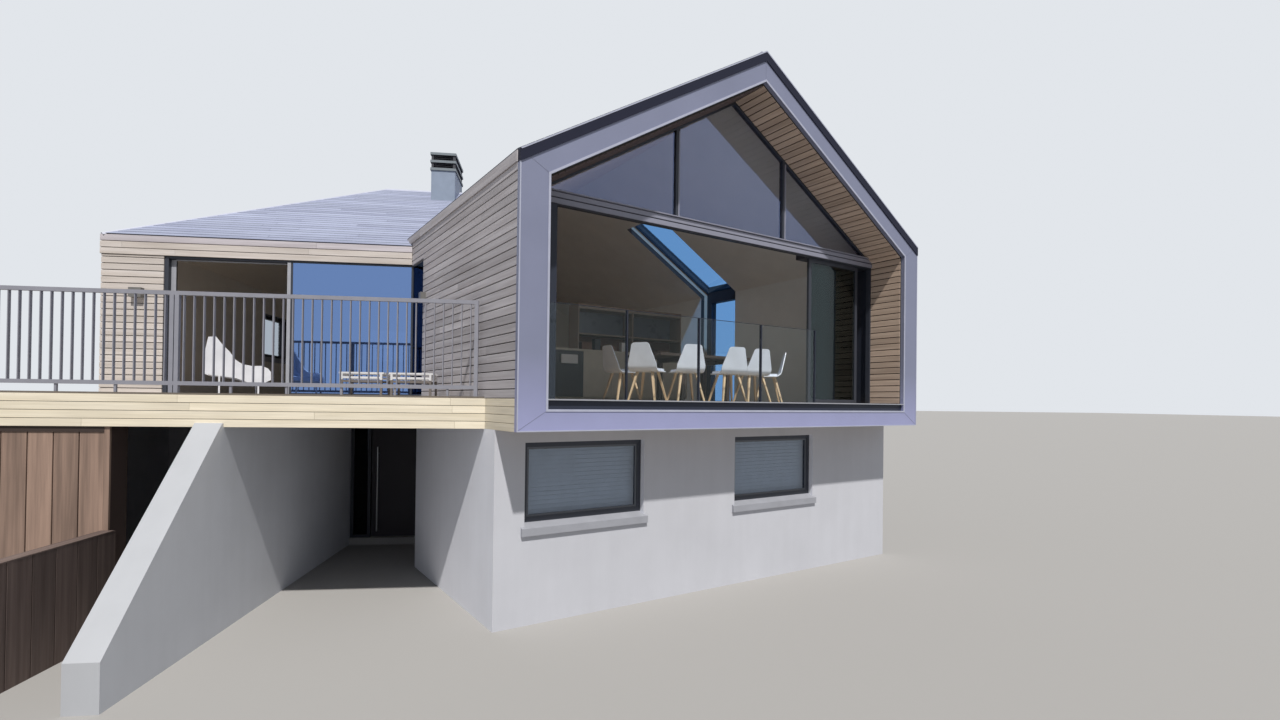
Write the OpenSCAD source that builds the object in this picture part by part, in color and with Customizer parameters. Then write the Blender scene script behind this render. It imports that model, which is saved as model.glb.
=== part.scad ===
// Beach house on two floors: a gabled upper wing turned out of line with a hipped wing,
// a timber terrace between them, and rendered walls below.
// Lengths are in millimetres. X runs to the right along the terrace front, Y to the back, Z up.
// Plan places count from the corner where the terrace side of the gable wing meets its front.

/* [Storeys] */
// Height of the upper floor above the lowest ground
floor_z = 2680; // [2600:10:2900]
// Thickness of the upper floors
floor_t = 362; // [300:1:420]
// Thickness of the ground floor
ground_floor_t = 120; // [80:10:160]
// Thickness of the rendered lower walls
lower_wall_t = 300; // [240:10:360]
// Thickness of the upper walls with their cladding
shell_t = 365; // [320:1:420]
// Thickness of the board cladding, which the structure stays behind
board_t = 22; // [15:1:30]

/* [Gable wing] */
// Width of the gable wing
gable_w = 7270; // [6800:10:7800]
// Turn of the gable wing out of the terrace line, in degrees
gable_turn = 26.6; // [24:0.1:30]
// Height of its eaves above the upper floor
gable_eave_h = 2680; // [2640:10:2800]
// Height of its ridge above the upper floor
gable_ridge_h = 4890; // [4700:10:5100]
// Depth from the front of the casing to the glazing
reveal_d = 640; // [500:10:760]
// Width of the metal casing on the front edge
casing_w = 365; // [320:1:420]
// Thickness of the metal casing
casing_t = 60; // [30:5:80]
// Width of the dark verge trim on the rakes
trim_w = 120; // [80:5:160]
// How far the verge trim stands proud of the casing
trim_proud = 15; // [5:1:30]
// Height of the casing's bottom rail
casing_rail_h = 247; // [200:1:270]
// Thickness of the boards that line the reveal
lining_t = 20; // [12:1:30]

/* [Gable glazing] */
// Height of the transom's underside above the upper floor
transom_h = 2370; // [2200:10:2450]
// Height of the transom bar
transom_t = 170; // [120:5:200]
// Width of the window frame members
frame_w = 60; // [45:1:80]
// Depth of the window frame members
frame_d = 80; // [60:1:120]
// Distance of each upper mullion from the middle of the gable
mullion_off = 1045; // [900:5:1200]
// Thickness of the glass panes
glass_t = 24; // [16:1:36]
// Number of sliding leaves
leaf_n = 4; // [3:1:4]
// Width of one sliding leaf
leaf_w = 1240; // [1150:10:1300]
// Thickness of one sliding leaf
leaf_t = 44; // [36:1:54]
// Gap between sliding leaves
leaf_gap = 8; // [6:1:12]
// Height of the glass balustrade
balustrade_h = 1150; // [1000:10:1250]
// Spacing of the balustrade posts
balustrade_pitch = 1185; // [1100:5:1190]

/* [Corner slot] */
// Start of the glazed slot in the right wall and roof, from the gable front
slot_s = 4170; // [3800:10:4600]
// Width of the glazed slot
slot_w = 1190; // [1000:10:1300]
// Reach of the slot up the roof, measured across from the terrace side
slot_top_t = 4780; // [4400:10:5400]

/* [Hipped wing] */
// Length of the hipped wing to the left of the corner
wing_len = 6654; // [6300:1:7000]
// Set-back of the hipped wing's front behind the corner
wing_y = 3976; // [3800:1:4200]
// Depth of the hipped wing
wing_d = 6720; // [6400:10:7000]
// Height of its eaves above the upper floor
wing_eave_h = 2500; // [2460:10:2540]
// Height of its ridge above the upper floor
wing_ridge_h = 4490; // [4300:10:4600]
// Vertical thickness of its roof
wing_roof_t = 300; // [240:10:310]
// Width of the boarded pier at its left corner
pier_w = 897; // [700:1:1100]
// Height of the terrace door opening
terrace_door_h = 2190; // [2100:10:2190]
// Length of the corner window in the gable wing's side wall
corner_window_w = 680; // [500:10:800]
// Width of the thin frame members where the corner glazing meets
corner_post_w = 25; // [20:1:40]

/* [Terrace] */
// Set-back of the terrace front behind the corner
terrace_y = 865; // [700:5:1000]
// How far the terrace runs on to the left of the hipped wing
terrace_past = 1450; // [1400:10:1700]
// Thickness of the terrace edge band
fascia_t = 40; // [34:1:60]
// Height that the edge band stands above the deck
fascia_up = 20; // [10:1:40]
// Height of the railing above the deck
rail_h = 1170; // [1000:10:1200]
// Size of the rails and posts
rail_t = 45; // [35:1:55]
// Height of the bottom rail's underside above the deck
rail_low = 105; // [90:5:180]
// Spacing of the balusters
baluster_pitch = 105.5; // [95:0.5:130]
// Thickness of a flat baluster
baluster_t = 10; // [8:1:14]
// Depth of a flat baluster
baluster_d = 36; // [25:1:45]

/* [Lower storey] */
// Width of the entrance recess
recess_w = 1520; // [1450:10:1700]
// Left face of the recess, to the left of the corner
recess_left = 3320; // [3200:10:3500]
// Set-back of the entrance wall behind the corner
recess_y = 5250; // [5000:10:5500]
// Thickness of the sloped buttress wall
buttress_t = 290; // [240:10:340]
// Reach of the buttress toe in front of the corner
buttress_toe_y = 1020; // [800:10:1200]
// Height of the buttress toe
buttress_toe_h = 435; // [350:5:500]
// Right end of the plank wall, to the left of the corner
plank_right = 4560; // [4400:10:4800]
// Thickness of the plank wall
plank_t = 360; // [250:10:400]
// Height of the plank retaining wall
retain_h = 1150; // [900:10:1300]
// Thickness of the plank retaining wall
retain_t = 100; // [80:5:150]
// Reach of the plank retaining wall in front of the plank wall
retain_len = 2520; // [2300:10:3000]

/* [Windows] */
// Width of a lower window
window_w = 1700; // [1400:10:1750]
// Height of a lower window
window_h = 955; // [800:5:1000]
// Depth of a lower window's head below the upper floor
window_head = 520; // [480:5:560]
// Distance of the first lower window from the corner
window_a = 380; // [340:10:600]
// Distance of the second lower window from the corner
window_b = 3700; // [3400:10:4200]
// Height of a window sill
sill_h = 145; // [80:5:160]
// How far a sill stands out of the wall
sill_out = 40; // [20:5:60]
// Fall of a sill's ledge from the frame to its front edge
sill_fall = 55; // [20:5:70]
// How far a sill runs past the sides of its window
sill_side = 45; // [20:5:60]

/* [Entrance door] */
// Width of the door leaf
door_w = 980; // [900:10:1000]
// Height of the door leaf
door_h = 2080; // [2000:10:2090]
// Thickness of the door leaf
door_t = 60; // [45:1:70]
// Running gap round the door leaf
door_gap = 8; // [8:1:12]
// Width of the entrance frame members
door_frame_w = 50; // [40:1:60]
// Length of the upright pull bar
pull_len = 1550; // [800:10:1700]
// Height of the pull bar's lower end above the foot of the leaf
pull_low = 100; // [60:10:300]
// Radius of the upright pull bar
pull_r = 15; // [10:1:20]
// Set-back of the hinge pins behind the door leaf
hinge_back = 10; // [8:1:14]

/* [Chimney] */
// Width of the chimney
chimney_w = 480; // [400:10:560]
// Length of the chimney
chimney_l = 950; // [800:10:1100]
// Height of the chimney stack's top above the upper floor
chimney_h = 4750; // [4650:10:4900]
// Distance of the chimney's left face from the corner
chimney_x = 2250; // [2100:10:2400]
// Set-back of the chimney behind the corner
chimney_y = 6700; // [6500:10:6900]
// Height of one louvre tier of the cowl
cowl_tier_h = 110; // [100:5:160]
// Thickness of a cowl plate
cowl_plate_t = 50; // [30:1:60]
// Size of the cowl's corner posts
cowl_post = 45; // [30:1:60]
// Number of louvre blades in a tier, on each side
cowl_blades = 3; // [2:1:4]

/* [Furniture] */
// Height of the dining table
table_h = 745; // [700:5:780]
// Length of the dining table
table_l = 2050; // [1800:10:2100]
// Width of the dining table
table_w = 950; // [850:10:1100]
// Height of the kitchen worktop
counter_h = 930; // [880:5:950]
// Length of the kitchen run
kitchen_l = 3000; // [2800:10:3300]
// Depth of the kitchen run
kitchen_d = 600; // [560:5:650]
// Height of the shelf over the kitchen niche
niche_h = 1710; // [1600:10:1800]
// Height of a chair to the top of its back
chair_h = 850; // [820:5:880]
// Width of a chair seat
chair_w = 460; // [420:5:480]
// Depth of a chair seat
chair_d = 430; // [400:5:450]
// Height of a chair seat
seat_h = 447; // [430:1:460]
// Lean of a chair back, in degrees
back_lean = 14; // [8:1:18]
// Width of the lounge chair
lounge_w = 680; // [600:10:750]
// Height of the low terrace tables
low_table_h = 330; // [300:10:420]
// Length of one low terrace table
low_table_l = 565; // [500:5:620]

/* [Hidden] */
$fn = 32;

// Levels above the lowest ground
under_z = floor_z - floor_t;
eave_z = floor_z + gable_eave_h;
ridge_z = floor_z + gable_ridge_h;
wing_eave_z = floor_z + wing_eave_h;
wing_ridge_z = floor_z + wing_ridge_h;
window_top_z = floor_z - window_head;
window_low_z = window_top_z - window_h;
upper_sill = 960;
upper_low_z = floor_z + upper_sill;
front_windows = [window_a, window_b];
back_windows = [window_a + lower_wall_t, window_b];
window_in = 80;

// Roof and linings of the gable wing
gable_slope = (gable_ridge_h - gable_eave_h) / (gable_w / 2);
gable_cos = cos(atan(gable_slope));
gable_drop = shell_t / gable_cos;
eave_lip = 130;
structure_s = trim_proud + casing_t;
sill_plate_t = 15;

// Roof of the hipped wing
wing_back_y = wing_y + wing_d;
wing_ridge_y = wing_y + wing_d / 2;
wing_slope = (wing_ridge_h - wing_eave_h) / (wing_d / 2);
hip_x = -wing_len + wing_d / 2;
end_window_in = 80;
end_window_y = wing_back_y - shell_t - end_window_in - window_w;

// The gable wing ends where its terrace side meets the back line of the hipped wing
gable_len = wing_back_y / cos(gable_turn);

// Corner where the lower left wall leaves the gable line for the recess
recess_right = recess_left - recess_w;
recess_corner_y = recess_right / tan(gable_turn);

// Middle of the overall box
plank_in = 55;
site_front = plank_front() - retain_len;
terrace_left = -wing_len - terrace_past;
site_x = (gable_w * cos(gable_turn) + terrace_left) / 2;
site_y = (gable_w * sin(gable_turn) + wing_back_y + site_front) / 2;

far = 30000;
below = -100;
// Pieces of one node lap by this much where they join
lap = 1;
// Pieces of different nodes stand this far apart where slanted or turned faces meet
seat_gap = 0.3;

function plank_front() = terrace_y + plank_in;
function gable_top(t) = eave_z + gable_slope * min(t, gable_w - t);
function gable_under(t) = gable_top(t) - gable_drop;
// Top of a wall that stands just clear of the roof slab
function wall_top(t) = gable_under(t) - seat_gap;
function on_gable(t, s) = [
    t * cos(gable_turn) - s * sin(gable_turn),
    t * sin(gable_turn) + s * cos(gable_turn)
];
// Where the line at distance t from the terrace side crosses a given Y
function s_at_y(t, y) = (y - t * sin(gable_turn)) / cos(gable_turn);
// Where the line at distance t from the terrace side crosses a given X
function y_at_x(t, x) = (t - x * cos(gable_turn)) / sin(gable_turn);
// Where the line at distance s from the gable front crosses a given Y
function x_at_y(s, y) = (y * cos(gable_turn) - s) / sin(gable_turn);

// House outline across the gable wing, taken in by d all round
function gable_section(d, low) = [
    [d, low],
    [gable_w - d, low],
    [gable_w - d, gable_top(d) - d / gable_cos],
    [gable_w / 2, ridge_z - d / gable_cos],
    [d, gable_top(d) - d / gable_cos]
];

module site() {
    translate([-site_x, -site_y, 0]) children();
}

module gable() {
    site() rotate([0, 0, gable_turn]) children();
}

// Extrudes an outline in width and height along the length of the gable wing
module along_s(s0, s1) {
    translate([0, s1, 0]) rotate([90, 0, 0]) linear_extrude(s1 - s0) children();
}

// Extrudes an outline in Y and height along X
module along_x(x0, x1) {
    translate([x0, 0, 0]) rotate([90, 0, 90]) linear_extrude(x1 - x0) children();
}

// Extrudes an outline in X and height along Y
module along_y(y0, y1) {
    translate([0, y1, 0]) rotate([90, 0, 0]) linear_extrude(y1 - y0) children();
}

module box(low, high) {
    translate(low) cube(high - low);
}

// Space of the gable wing inside a wall face at distance t, in the gable frame
module gable_mass(t, s0) {
    along_s(s0, gable_len) polygon(concat(
        [[t, below], [gable_w - t, below]],
        [[gable_w - t, gable_top(t)], [gable_w / 2, ridge_z], [t, gable_top(t)]]
    ));
}

// Space under the hipped roof when it is lowered by drop
module wing_mass(drop, y0, x0) {
    top = wing_ridge_z - drop;
    eave = wing_eave_z - drop;
    intersection() {
        along_x(x0, 0) polygon([
            [y0, below], [wing_back_y, below], [wing_back_y, eave], [wing_ridge_y, top],
            [y0, eave + wing_slope * (y0 - wing_y)]
        ]);
        along_y(y0, wing_back_y) polygon([
            [x0, below], [0, below], [0, top], [hip_x, top],
            [x0, eave + wing_slope * (x0 + wing_len)]
        ]);
    }
}

module cut_by_gable(t) {
    difference() {
        site() children();
        gable() gable_mass(t, below);
    }
}

module lower_front_wall() {
    color("gainsboro") gable() difference() {
        box([0, reveal_d, 0], [gable_w, reveal_d + lower_wall_t, under_z]);
        for (a = front_windows)
            box([a, 0, window_low_z - sill_h], [a + window_w, far, window_top_z]);
    }
}

module lower_left_wall() {
    inner_x = -recess_right + lower_wall_t;
    color("gainsboro") site() linear_extrude(under_z) polygon([
        on_gable(0, reveal_d + lower_wall_t),
        [-recess_right, recess_corner_y],
        [-recess_right, recess_y],
        [inner_x, recess_y],
        [inner_x, y_at_x(lower_wall_t, inner_x)],
        on_gable(lower_wall_t, reveal_d + lower_wall_t)
    ]);
}

module lower_right_wall() {
    color("gainsboro") gable()
        box([gable_w - lower_wall_t, reveal_d + lower_wall_t, 0], [gable_w, gable_len, under_z]);
}

module rear_windows(low, high) {
    for (a = back_windows) box([a, 0, low], [a + window_w, far, high]);
}

module lower_rear_wall() {
    inner_s = gable_len - lower_wall_t;
    inner_y = wing_back_y - lower_wall_t;
    right_t = gable_w - lower_wall_t - seat_gap;
    color("gainsboro") difference() {
        site() linear_extrude(under_z) polygon([
            [-wing_len + lower_wall_t, inner_y],
            [-wing_len + lower_wall_t, wing_back_y],
            on_gable(0, gable_len),
            on_gable(right_t, gable_len),
            on_gable(right_t, inner_s),
            [x_at_y(inner_s, inner_y), inner_y]
        ]);
        gable() rear_windows(window_low_z - sill_h, window_top_z);
    }
}

// End wall of the hipped wing, which turns out under the end of the terrace
module lower_end_wall() {
    x0 = terrace_left;
    x1 = -wing_len;
    y0 = plank_front() + plank_t;
    t = lower_wall_t;
    color("gainsboro") site() linear_extrude(under_z) polygon([
        [x0, y0], [x0, wing_y], [x1, wing_y], [x1, wing_back_y],
        [x1 + t, wing_back_y], [x1 + t, wing_y - t], [x0 + t, wing_y - t], [x0 + t, y0]
    ]);
}

module lower_back_wall() {
    color("gainsboro") site()
        box([-wing_len + lower_wall_t, recess_y, 0], [-recess_left, recess_y + lower_wall_t, under_z]);
}

sidelight_w = 350;
door_in = 60;
entrance_frame_d = 120;
door_right = -recess_left + sidelight_w + door_w + 2 * door_gap + door_frame_w;
door_left = door_right - door_frame_w - 2 * door_gap - door_w;
lintel_z = ground_floor_t + door_h + 2 * door_gap + door_frame_w;

module recess_pier() {
    color("gainsboro") site()
        box([door_right, recess_y, 0], [-recess_right + lower_wall_t, recess_y + lower_wall_t, under_z]);
}

module recess_lintel() {
    color("gainsboro") site()
        box([-recess_left, recess_y, lintel_z], [door_right, recess_y + lower_wall_t, under_z]);
}

// Wall with a sloped front, whose top end stands as a low nose in front of the terrace edge
module left_buttress() {
    nose_h = 44;
    nose_d = 25;
    nose_gap = 2;
    nose_y = terrace_y - nose_gap;
    color("whitesmoke") site() along_x(-recess_left - buttress_t, -recess_left) polygon([
        [-buttress_toe_y, 0],
        [recess_y, 0],
        [recess_y, under_z],
        [nose_y, under_z],
        [nose_y, under_z + nose_h],
        [nose_y - nose_d, under_z + nose_h],
        [-buttress_toe_y, buttress_toe_h]
    ]);
}

module plank_wall() {
    color("sienna") site()
        box([terrace_left, plank_front(), 0], [-plank_right, plank_front() + plank_t, under_z]);
}

module plank_retaining_wall() {
    x = -plank_right;
    color("sienna") site()
        box([x, plank_front() - retain_len, 0], [x + retain_t, plank_front(), retain_h]);
}

module ground_floor() {
    inner_x = -recess_right + lower_wall_t;
    inner_y = recess_y + lower_wall_t;
    in_t = lower_wall_t + seat_gap;
    color("darkgray") site() linear_extrude(ground_floor_t) polygon([
        on_gable(in_t, reveal_d + in_t),
        on_gable(gable_w - in_t, reveal_d + in_t),
        on_gable(gable_w - in_t, gable_len - in_t),
        [x_at_y(gable_len - in_t, wing_back_y - lower_wall_t), wing_back_y - lower_wall_t],
        [-wing_len + lower_wall_t, wing_back_y - lower_wall_t],
        [-wing_len + lower_wall_t, inner_y],
        [-recess_left, inner_y],
        [-recess_left, recess_y],
        [door_right, recess_y],
        [door_right, inner_y],
        [inner_x, inner_y],
        [inner_x, y_at_x(in_t, inner_x)]
    ]);
}

// One window frame, seen along the gable, with its outer corner at the origin
module window_ring(w, h) {
    difference() {
        square([w, h]);
        translate([frame_w, frame_w]) square([w - 2 * frame_w, h - 2 * frame_w]);
    }
}

// Puts children at each window: X along the wall, Y inwards from its face, Z up from its foot
module at_windows() {
    gable() for (a = front_windows) translate([a, reveal_d, window_low_z]) children();
    gable() for (a = back_windows, z = [window_low_z, upper_low_z])
        translate([a + window_w, gable_len, z]) rotate([0, 0, 180]) children();
    site() translate([-wing_len, end_window_y + window_w, upper_low_z]) rotate([0, 0, -90]) children();
}

module window_frames() {
    color("darkslategray") at_windows()
        along_s(window_in, window_in + frame_d) window_ring(window_w, window_h);
}

module window_glass() {
    near = window_in + (frame_d - glass_t) / 2;
    color("lightblue", 0.5) at_windows() along_s(near, near + glass_t)
        translate([frame_w, frame_w]) square([window_w - 2 * frame_w, window_h - 2 * frame_w]);
}

// Sill seen along the wall: a sloped ledge and a front face, cut off at back behind the wall face
module sill_profile(back) {
    intersection() {
        polygon([
            [window_in + frame_d, 0], [window_in + frame_d, -sill_h], [-sill_out, -sill_h],
            [-sill_out, -sill_fall], [window_in, 0]
        ]);
        translate([-far, -sill_h]) square([far + back, sill_h]);
    }
}

// Each sill fits between the sides of its window and runs past them in front of the wall
module window_sills() {
    color("silver") at_windows() {
        along_x(0, window_w) sill_profile(window_in + frame_d);
        along_x(-sill_side, window_w + sill_side) sill_profile(-seat_gap);
    }
}

module entrance_frame() {
    y0 = recess_y + door_in;
    y1 = y0 + entrance_frame_d;
    low = ground_floor_t;
    color("darkslategray") site() difference() {
        box([-recess_left, y0, low], [door_right, y1, lintel_z]);
        box([-recess_left + door_frame_w, y0 - 1, low + door_frame_w],
            [door_left - door_frame_w, y1 + 1, lintel_z - door_frame_w]);
        box([door_left, y0 - 1, low - 1],
            [door_right - door_frame_w, y1 + 1, lintel_z - door_frame_w]);
    }
}

module entrance_sidelight() {
    y = recess_y + door_in + (entrance_frame_d - glass_t) / 2;
    color("lightblue", 0.5) site()
        box([-recess_left + door_frame_w, y, ground_floor_t + door_frame_w],
            [door_left - door_frame_w, y + glass_t, lintel_z - door_frame_w]);
}

door_y = recess_y + door_in + entrance_frame_d - door_t;

hinge_x = door_left + door_gap + door_w + door_gap / 2;
hinge_y = door_y + door_t + hinge_back;
hinge_clear = 0.35;
hinge_r = norm([door_gap / 2, hinge_back]) - hinge_clear;
hinge_h = 100;
hinge_end = 250;
hinge_plate_t = 3;

// Knuckles on plates that are fixed to the back of the frame
module door_hinges() {
    levels = [hinge_end, door_h / 2, door_h - hinge_end - hinge_h];
    color("silver") site() for (z = levels) translate([0, 0, ground_floor_t + z]) {
        translate([hinge_x, hinge_y, 0]) cylinder(r = hinge_r, h = hinge_h);
        translate([hinge_x, door_y + door_t, 0]) cube([door_frame_w * 0.8, hinge_plate_t, hinge_h]);
    }
}

module entrance_door() {
    color("dimgray") site()
        box([door_left + door_gap, door_y, ground_floor_t + door_gap],
            [door_left + door_gap + door_w, door_y + door_t, ground_floor_t + door_gap + door_h]);
}

module door_pull() {
    pull_in = 110;
    stand = 55;
    stand_end = 120;
    x = door_left + door_gap + pull_in;
    z = ground_floor_t + door_gap + pull_low;
    color("silver") site() {
        translate([x, door_y - stand, z]) cylinder(r = pull_r, h = pull_len);
        for (dz = [stand_end, pull_len - stand_end])
            translate([x, door_y, z + dz]) rotate([90, 0, 0]) cylinder(r = pull_r * 0.6, h = stand);
    }
}

module gable_floor() {
    color("burlywood") gable() translate([board_t, 0, 0]) along_x(0, gable_w - 2 * board_t) polygon([
        [structure_s, under_z + seat_gap],
        [gable_len - board_t, under_z + seat_gap],
        [gable_len - board_t, floor_z],
        [reveal_d, floor_z],
        [reveal_d, floor_z - sill_plate_t],
        [structure_s, floor_z - sill_plate_t]
    ]);
}

module wing_floor() {
    color("burlywood") cut_by_gable(board_t)
        box([-wing_len + board_t, wing_y, under_z], [0, wing_back_y - board_t, floor_z]);
}

module terrace_deck() {
    color("tan") cut_by_gable(board_t) difference() {
        box([terrace_left + board_t + fascia_t, terrace_y + fascia_t, under_z], [0, wing_y, floor_z]);
        box([-far, wing_y - board_t - fascia_t, 0], [-wing_len, far, far]);
    }
}

// Band round the open edges of the terrace: its front, its left end and the back of the run past the wing
module terrace_fascia() {
    low = under_z;
    top = floor_z + fascia_up;
    x0 = terrace_left + board_t;
    y1 = wing_y - board_t;
    color("wheat") cut_by_gable(board_t) difference() {
        box([x0, terrace_y + board_t, low], [0, y1, top]);
        box([x0 + fascia_t, terrace_y + fascia_t, low - 1], [far, y1 - fascia_t, top + 1]);
        box([-wing_len, terrace_y + fascia_t, low - 1], [far, far, top + 1]);
    }
}

module baluster(x, y, along) {
    size = along ? [baluster_t, baluster_d] : [baluster_d, baluster_t];
    translate([x - size[0] / 2, y - size[1] / 2, floor_z + rail_low + rail_t - lap])
        cube([size[0], size[1], rail_h - rail_low - 2 * rail_t + 2 * lap]);
}

module rail_post(x, y) {
    translate([x - rail_t / 2, y - rail_t / 2, floor_z]) cube([rail_t, rail_t, rail_h]);
}

rail_y = terrace_y + fascia_t + rail_t / 2 + seat_gap;
rail_left = terrace_left + board_t + fascia_t + rail_t / 2 + seat_gap;
rail_right = -552;
rail_join = -3880;
rail_joint_gap = 27;
baluster_first = 97;
rail_back = wing_y - board_t - fascia_t - rail_t / 2 - seat_gap;
rail_foot = 25;
rail_foot_pitch = 600;

// Short foot under the bottom rail
module rail_foot(x, y) {
    translate([x - rail_foot / 2, y - rail_foot / 2, floor_z]) cube([rail_foot, rail_foot, rail_low + lap]);
}

module front_railing() {
    color("gray") site() {
        for (z = [rail_low, rail_h - rail_t])
            box([rail_left, rail_y - rail_t / 2, floor_z + z],
                [rail_right, rail_y + rail_t / 2, floor_z + z + rail_t]);
        for (x = [rail_left, rail_join - rail_joint_gap, rail_join + rail_joint_gap, rail_right])
            rail_post(x, rail_y);
        for (x = [rail_join + baluster_first : baluster_pitch : rail_right - baluster_pitch / 2])
            baluster(x, rail_y, true);
        for (x = [rail_join - baluster_first : -baluster_pitch : rail_left + baluster_pitch / 2])
            baluster(x, rail_y, true);
        for (x = [rail_join + rail_foot_pitch : rail_foot_pitch : rail_right - rail_foot_pitch / 2])
            rail_foot(x, rail_y);
        for (x = [rail_join - rail_foot_pitch : -rail_foot_pitch : rail_left + rail_foot_pitch / 2])
            rail_foot(x, rail_y);
    }
}

module end_railing() {
    y0 = rail_y + rail_t / 2;
    n = floor((rail_back - rail_y) / baluster_pitch);
    color("gray") site() {
        for (z = [rail_low, rail_h - rail_t])
            box([rail_left - rail_t / 2, y0, floor_z + z],
                [rail_left + rail_t / 2, rail_back, floor_z + z + rail_t]);
        rail_post(rail_left, rail_back);
        for (i = [1 : n - 1]) baluster(rail_left, rail_y + i * baluster_pitch, false);
    }
}

module side_wall_outline(t0, t1) {
    polygon([[t0, floor_z], [t1, floor_z], [t1, wall_top(t1)], [t0, wall_top(t0)]]);
}

corner_s = s_at_y(0, wing_y);

module gable_left_wall() {
    color("rosybrown") difference() {
        gable() difference() {
            along_s(structure_s, gable_len - shell_t) side_wall_outline(board_t, shell_t);
            box([-far, corner_s - corner_window_w, floor_z - 1],
                [far, corner_s, floor_z + terrace_door_h]);
        }
        site() wing_mass(wing_roof_t, wing_y + shell_t, -wing_len);
    }
}

module gable_right_wall() {
    t1 = gable_w - board_t;
    t0 = gable_w - shell_t;
    color("rosybrown") gable() difference() {
        along_s(structure_s, gable_len - shell_t) side_wall_outline(t0, t1);
        box([t0 - 1, slot_s, floor_z - 1], [far, slot_s + slot_w, far]);
    }
}

module gable_rear_wall() {
    t1 = gable_w - board_t;
    color("rosybrown") gable() difference() {
        along_s(gable_len - shell_t, gable_len - board_t) polygon([
            [board_t, floor_z], [t1, floor_z], [t1, wall_top(t1)],
            [gable_w / 2, wall_top(gable_w / 2)], [board_t, wall_top(board_t)]
        ]);
        rear_windows(upper_low_z - sill_h, upper_low_z + window_h);
    }
}

// Roof slab on the terrace side, with a lip that covers the top of the cladding
module gable_slab() {
    along_s(structure_s, gable_len) polygon([
        [0, eave_z],
        [gable_w / 2, ridge_z],
        [gable_w / 2, ridge_z - gable_drop],
        [board_t, gable_under(board_t)],
        [board_t, eave_z - eave_lip],
        [0, eave_z - eave_lip]
    ]);
}

module gable_roof_left() {
    color("lavender") difference() {
        gable() gable_slab();
        site() wing_mass(wing_roof_t, wing_y + shell_t, -wing_len);
    }
}

module gable_roof_right() {
    color("lavender") gable() difference() {
        translate([gable_w, 0, 0]) mirror([1, 0, 0]) gable_slab();
        box([slot_top_t, slot_s, 0], [far, slot_s + slot_w, far]);
    }
}

module gable_casing() {
    color("slategray") gable() difference() {
        along_s(trim_proud, structure_s) polygon(gable_section(0, under_z));
        along_s(0, far) polygon(gable_section(casing_w, under_z + casing_rail_h));
        along_s(0, far) polygon(verge_outline());
    }
}

function verge_outline() = [
    [0, eave_z], [gable_w / 2, ridge_z], [gable_w, eave_z],
    [gable_w, eave_z - trim_w / gable_cos],
    [gable_w / 2, ridge_z - trim_w / gable_cos],
    [0, eave_z - trim_w / gable_cos]
];

module verge_trim() {
    color("darkslategray") gable() along_s(0, structure_s) polygon(verge_outline());
}

module reveal_lining() {
    color("peru") gable() difference() {
        along_s(structure_s, reveal_d) polygon(gable_section(shell_t + seat_gap, floor_z));
        along_s(0, far) polygon(gable_section(shell_t + lining_t, floor_z - 1));
    }
}

module gable_sill() {
    color("lightgray") gable()
        box([shell_t, trim_proud, floor_z - sill_plate_t], [gable_w - shell_t, reveal_d, floor_z]);
}

// Outline of the gable window's openings: three panes above the transom, one gap below
module upper_panes() {
    top = floor_z + transom_h + transom_t;
    intersection() {
        polygon(gable_section(shell_t + frame_w, floor_z));
        difference() {
            translate([0, top]) square([gable_w, far]);
            for (m = [-1, 1])
                translate([gable_w / 2 + m * mullion_off - frame_w / 2, 0]) square([frame_w, far]);
        }
    }
}

// Room for the sliding leaves behind the frame, and the height of their track
track_d = leaf_n * (leaf_t + leaf_gap) + 4 * leaf_gap;
track_h = 90;

module gable_window_frame() {
    head = floor_z + transom_h;
    color("darkslategray") gable() {
        along_s(reveal_d, reveal_d + frame_d) difference() {
            polygon(gable_section(shell_t + seat_gap, floor_z));
            upper_panes();
            translate([shell_t + frame_w, floor_z - 1])
                square([gable_w - 2 * (shell_t + frame_w), transom_h + 1]);
        }
        box([stack_left - frame_w, reveal_d + frame_d, head],
            [gable_w - shell_t - seat_gap, reveal_d + frame_d + track_d, head + track_h]);
    }
}

module gable_glass() {
    mid = reveal_d + (frame_d - glass_t) / 2;
    color("lightblue", 0.5) gable() along_s(mid, mid + glass_t) upper_panes();
}

leaf_side = 25;
leaf_step = 70;
stack_left = gable_w - shell_t - frame_w - leaf_side - leaf_w - leaf_step * (leaf_n - 1);

module leaf_place(i) {
    s = reveal_d + frame_d + leaf_gap + i * (leaf_t + leaf_gap);
    translate([stack_left + leaf_step * i, s, floor_z]) children();
}

module sliding_leaves() {
    color("darkslategray") gable() for (i = [0 : leaf_n - 1]) leaf_place(i) difference() {
        cube([leaf_w, leaf_t, transom_h]);
        translate([frame_w, -1, frame_w]) cube([leaf_w - 2 * frame_w, leaf_t + 2, transom_h - 2 * frame_w]);
    }
}

module sliding_glass() {
    color("lightblue", 0.5) gable() for (i = [0 : leaf_n - 1]) leaf_place(i)
        translate([frame_w, (leaf_t - glass_t) / 2, frame_w])
            cube([leaf_w - 2 * frame_w, glass_t, transom_h - 2 * frame_w]);
}

// Glass panes between thin posts, in front of the open part of the window
module glass_balustrade() {
    bays = 4;
    post = [16, 40];
    pane_t = 16;
    start = [500, 490, floor_z];
    color("lightblue", 0.5) gable() translate(start) {
        for (i = [0 : bays - 1]) translate([i * balustrade_pitch + post[0] / 2, -pane_t / 2, 0])
            cube([balustrade_pitch - post[0], pane_t, balustrade_h]);
        for (i = [0 : bays]) translate([i * balustrade_pitch - post[0] / 2, -post[1] / 2, 0])
            cube([post[0], post[1], balustrade_h]);
    }
}

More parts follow.
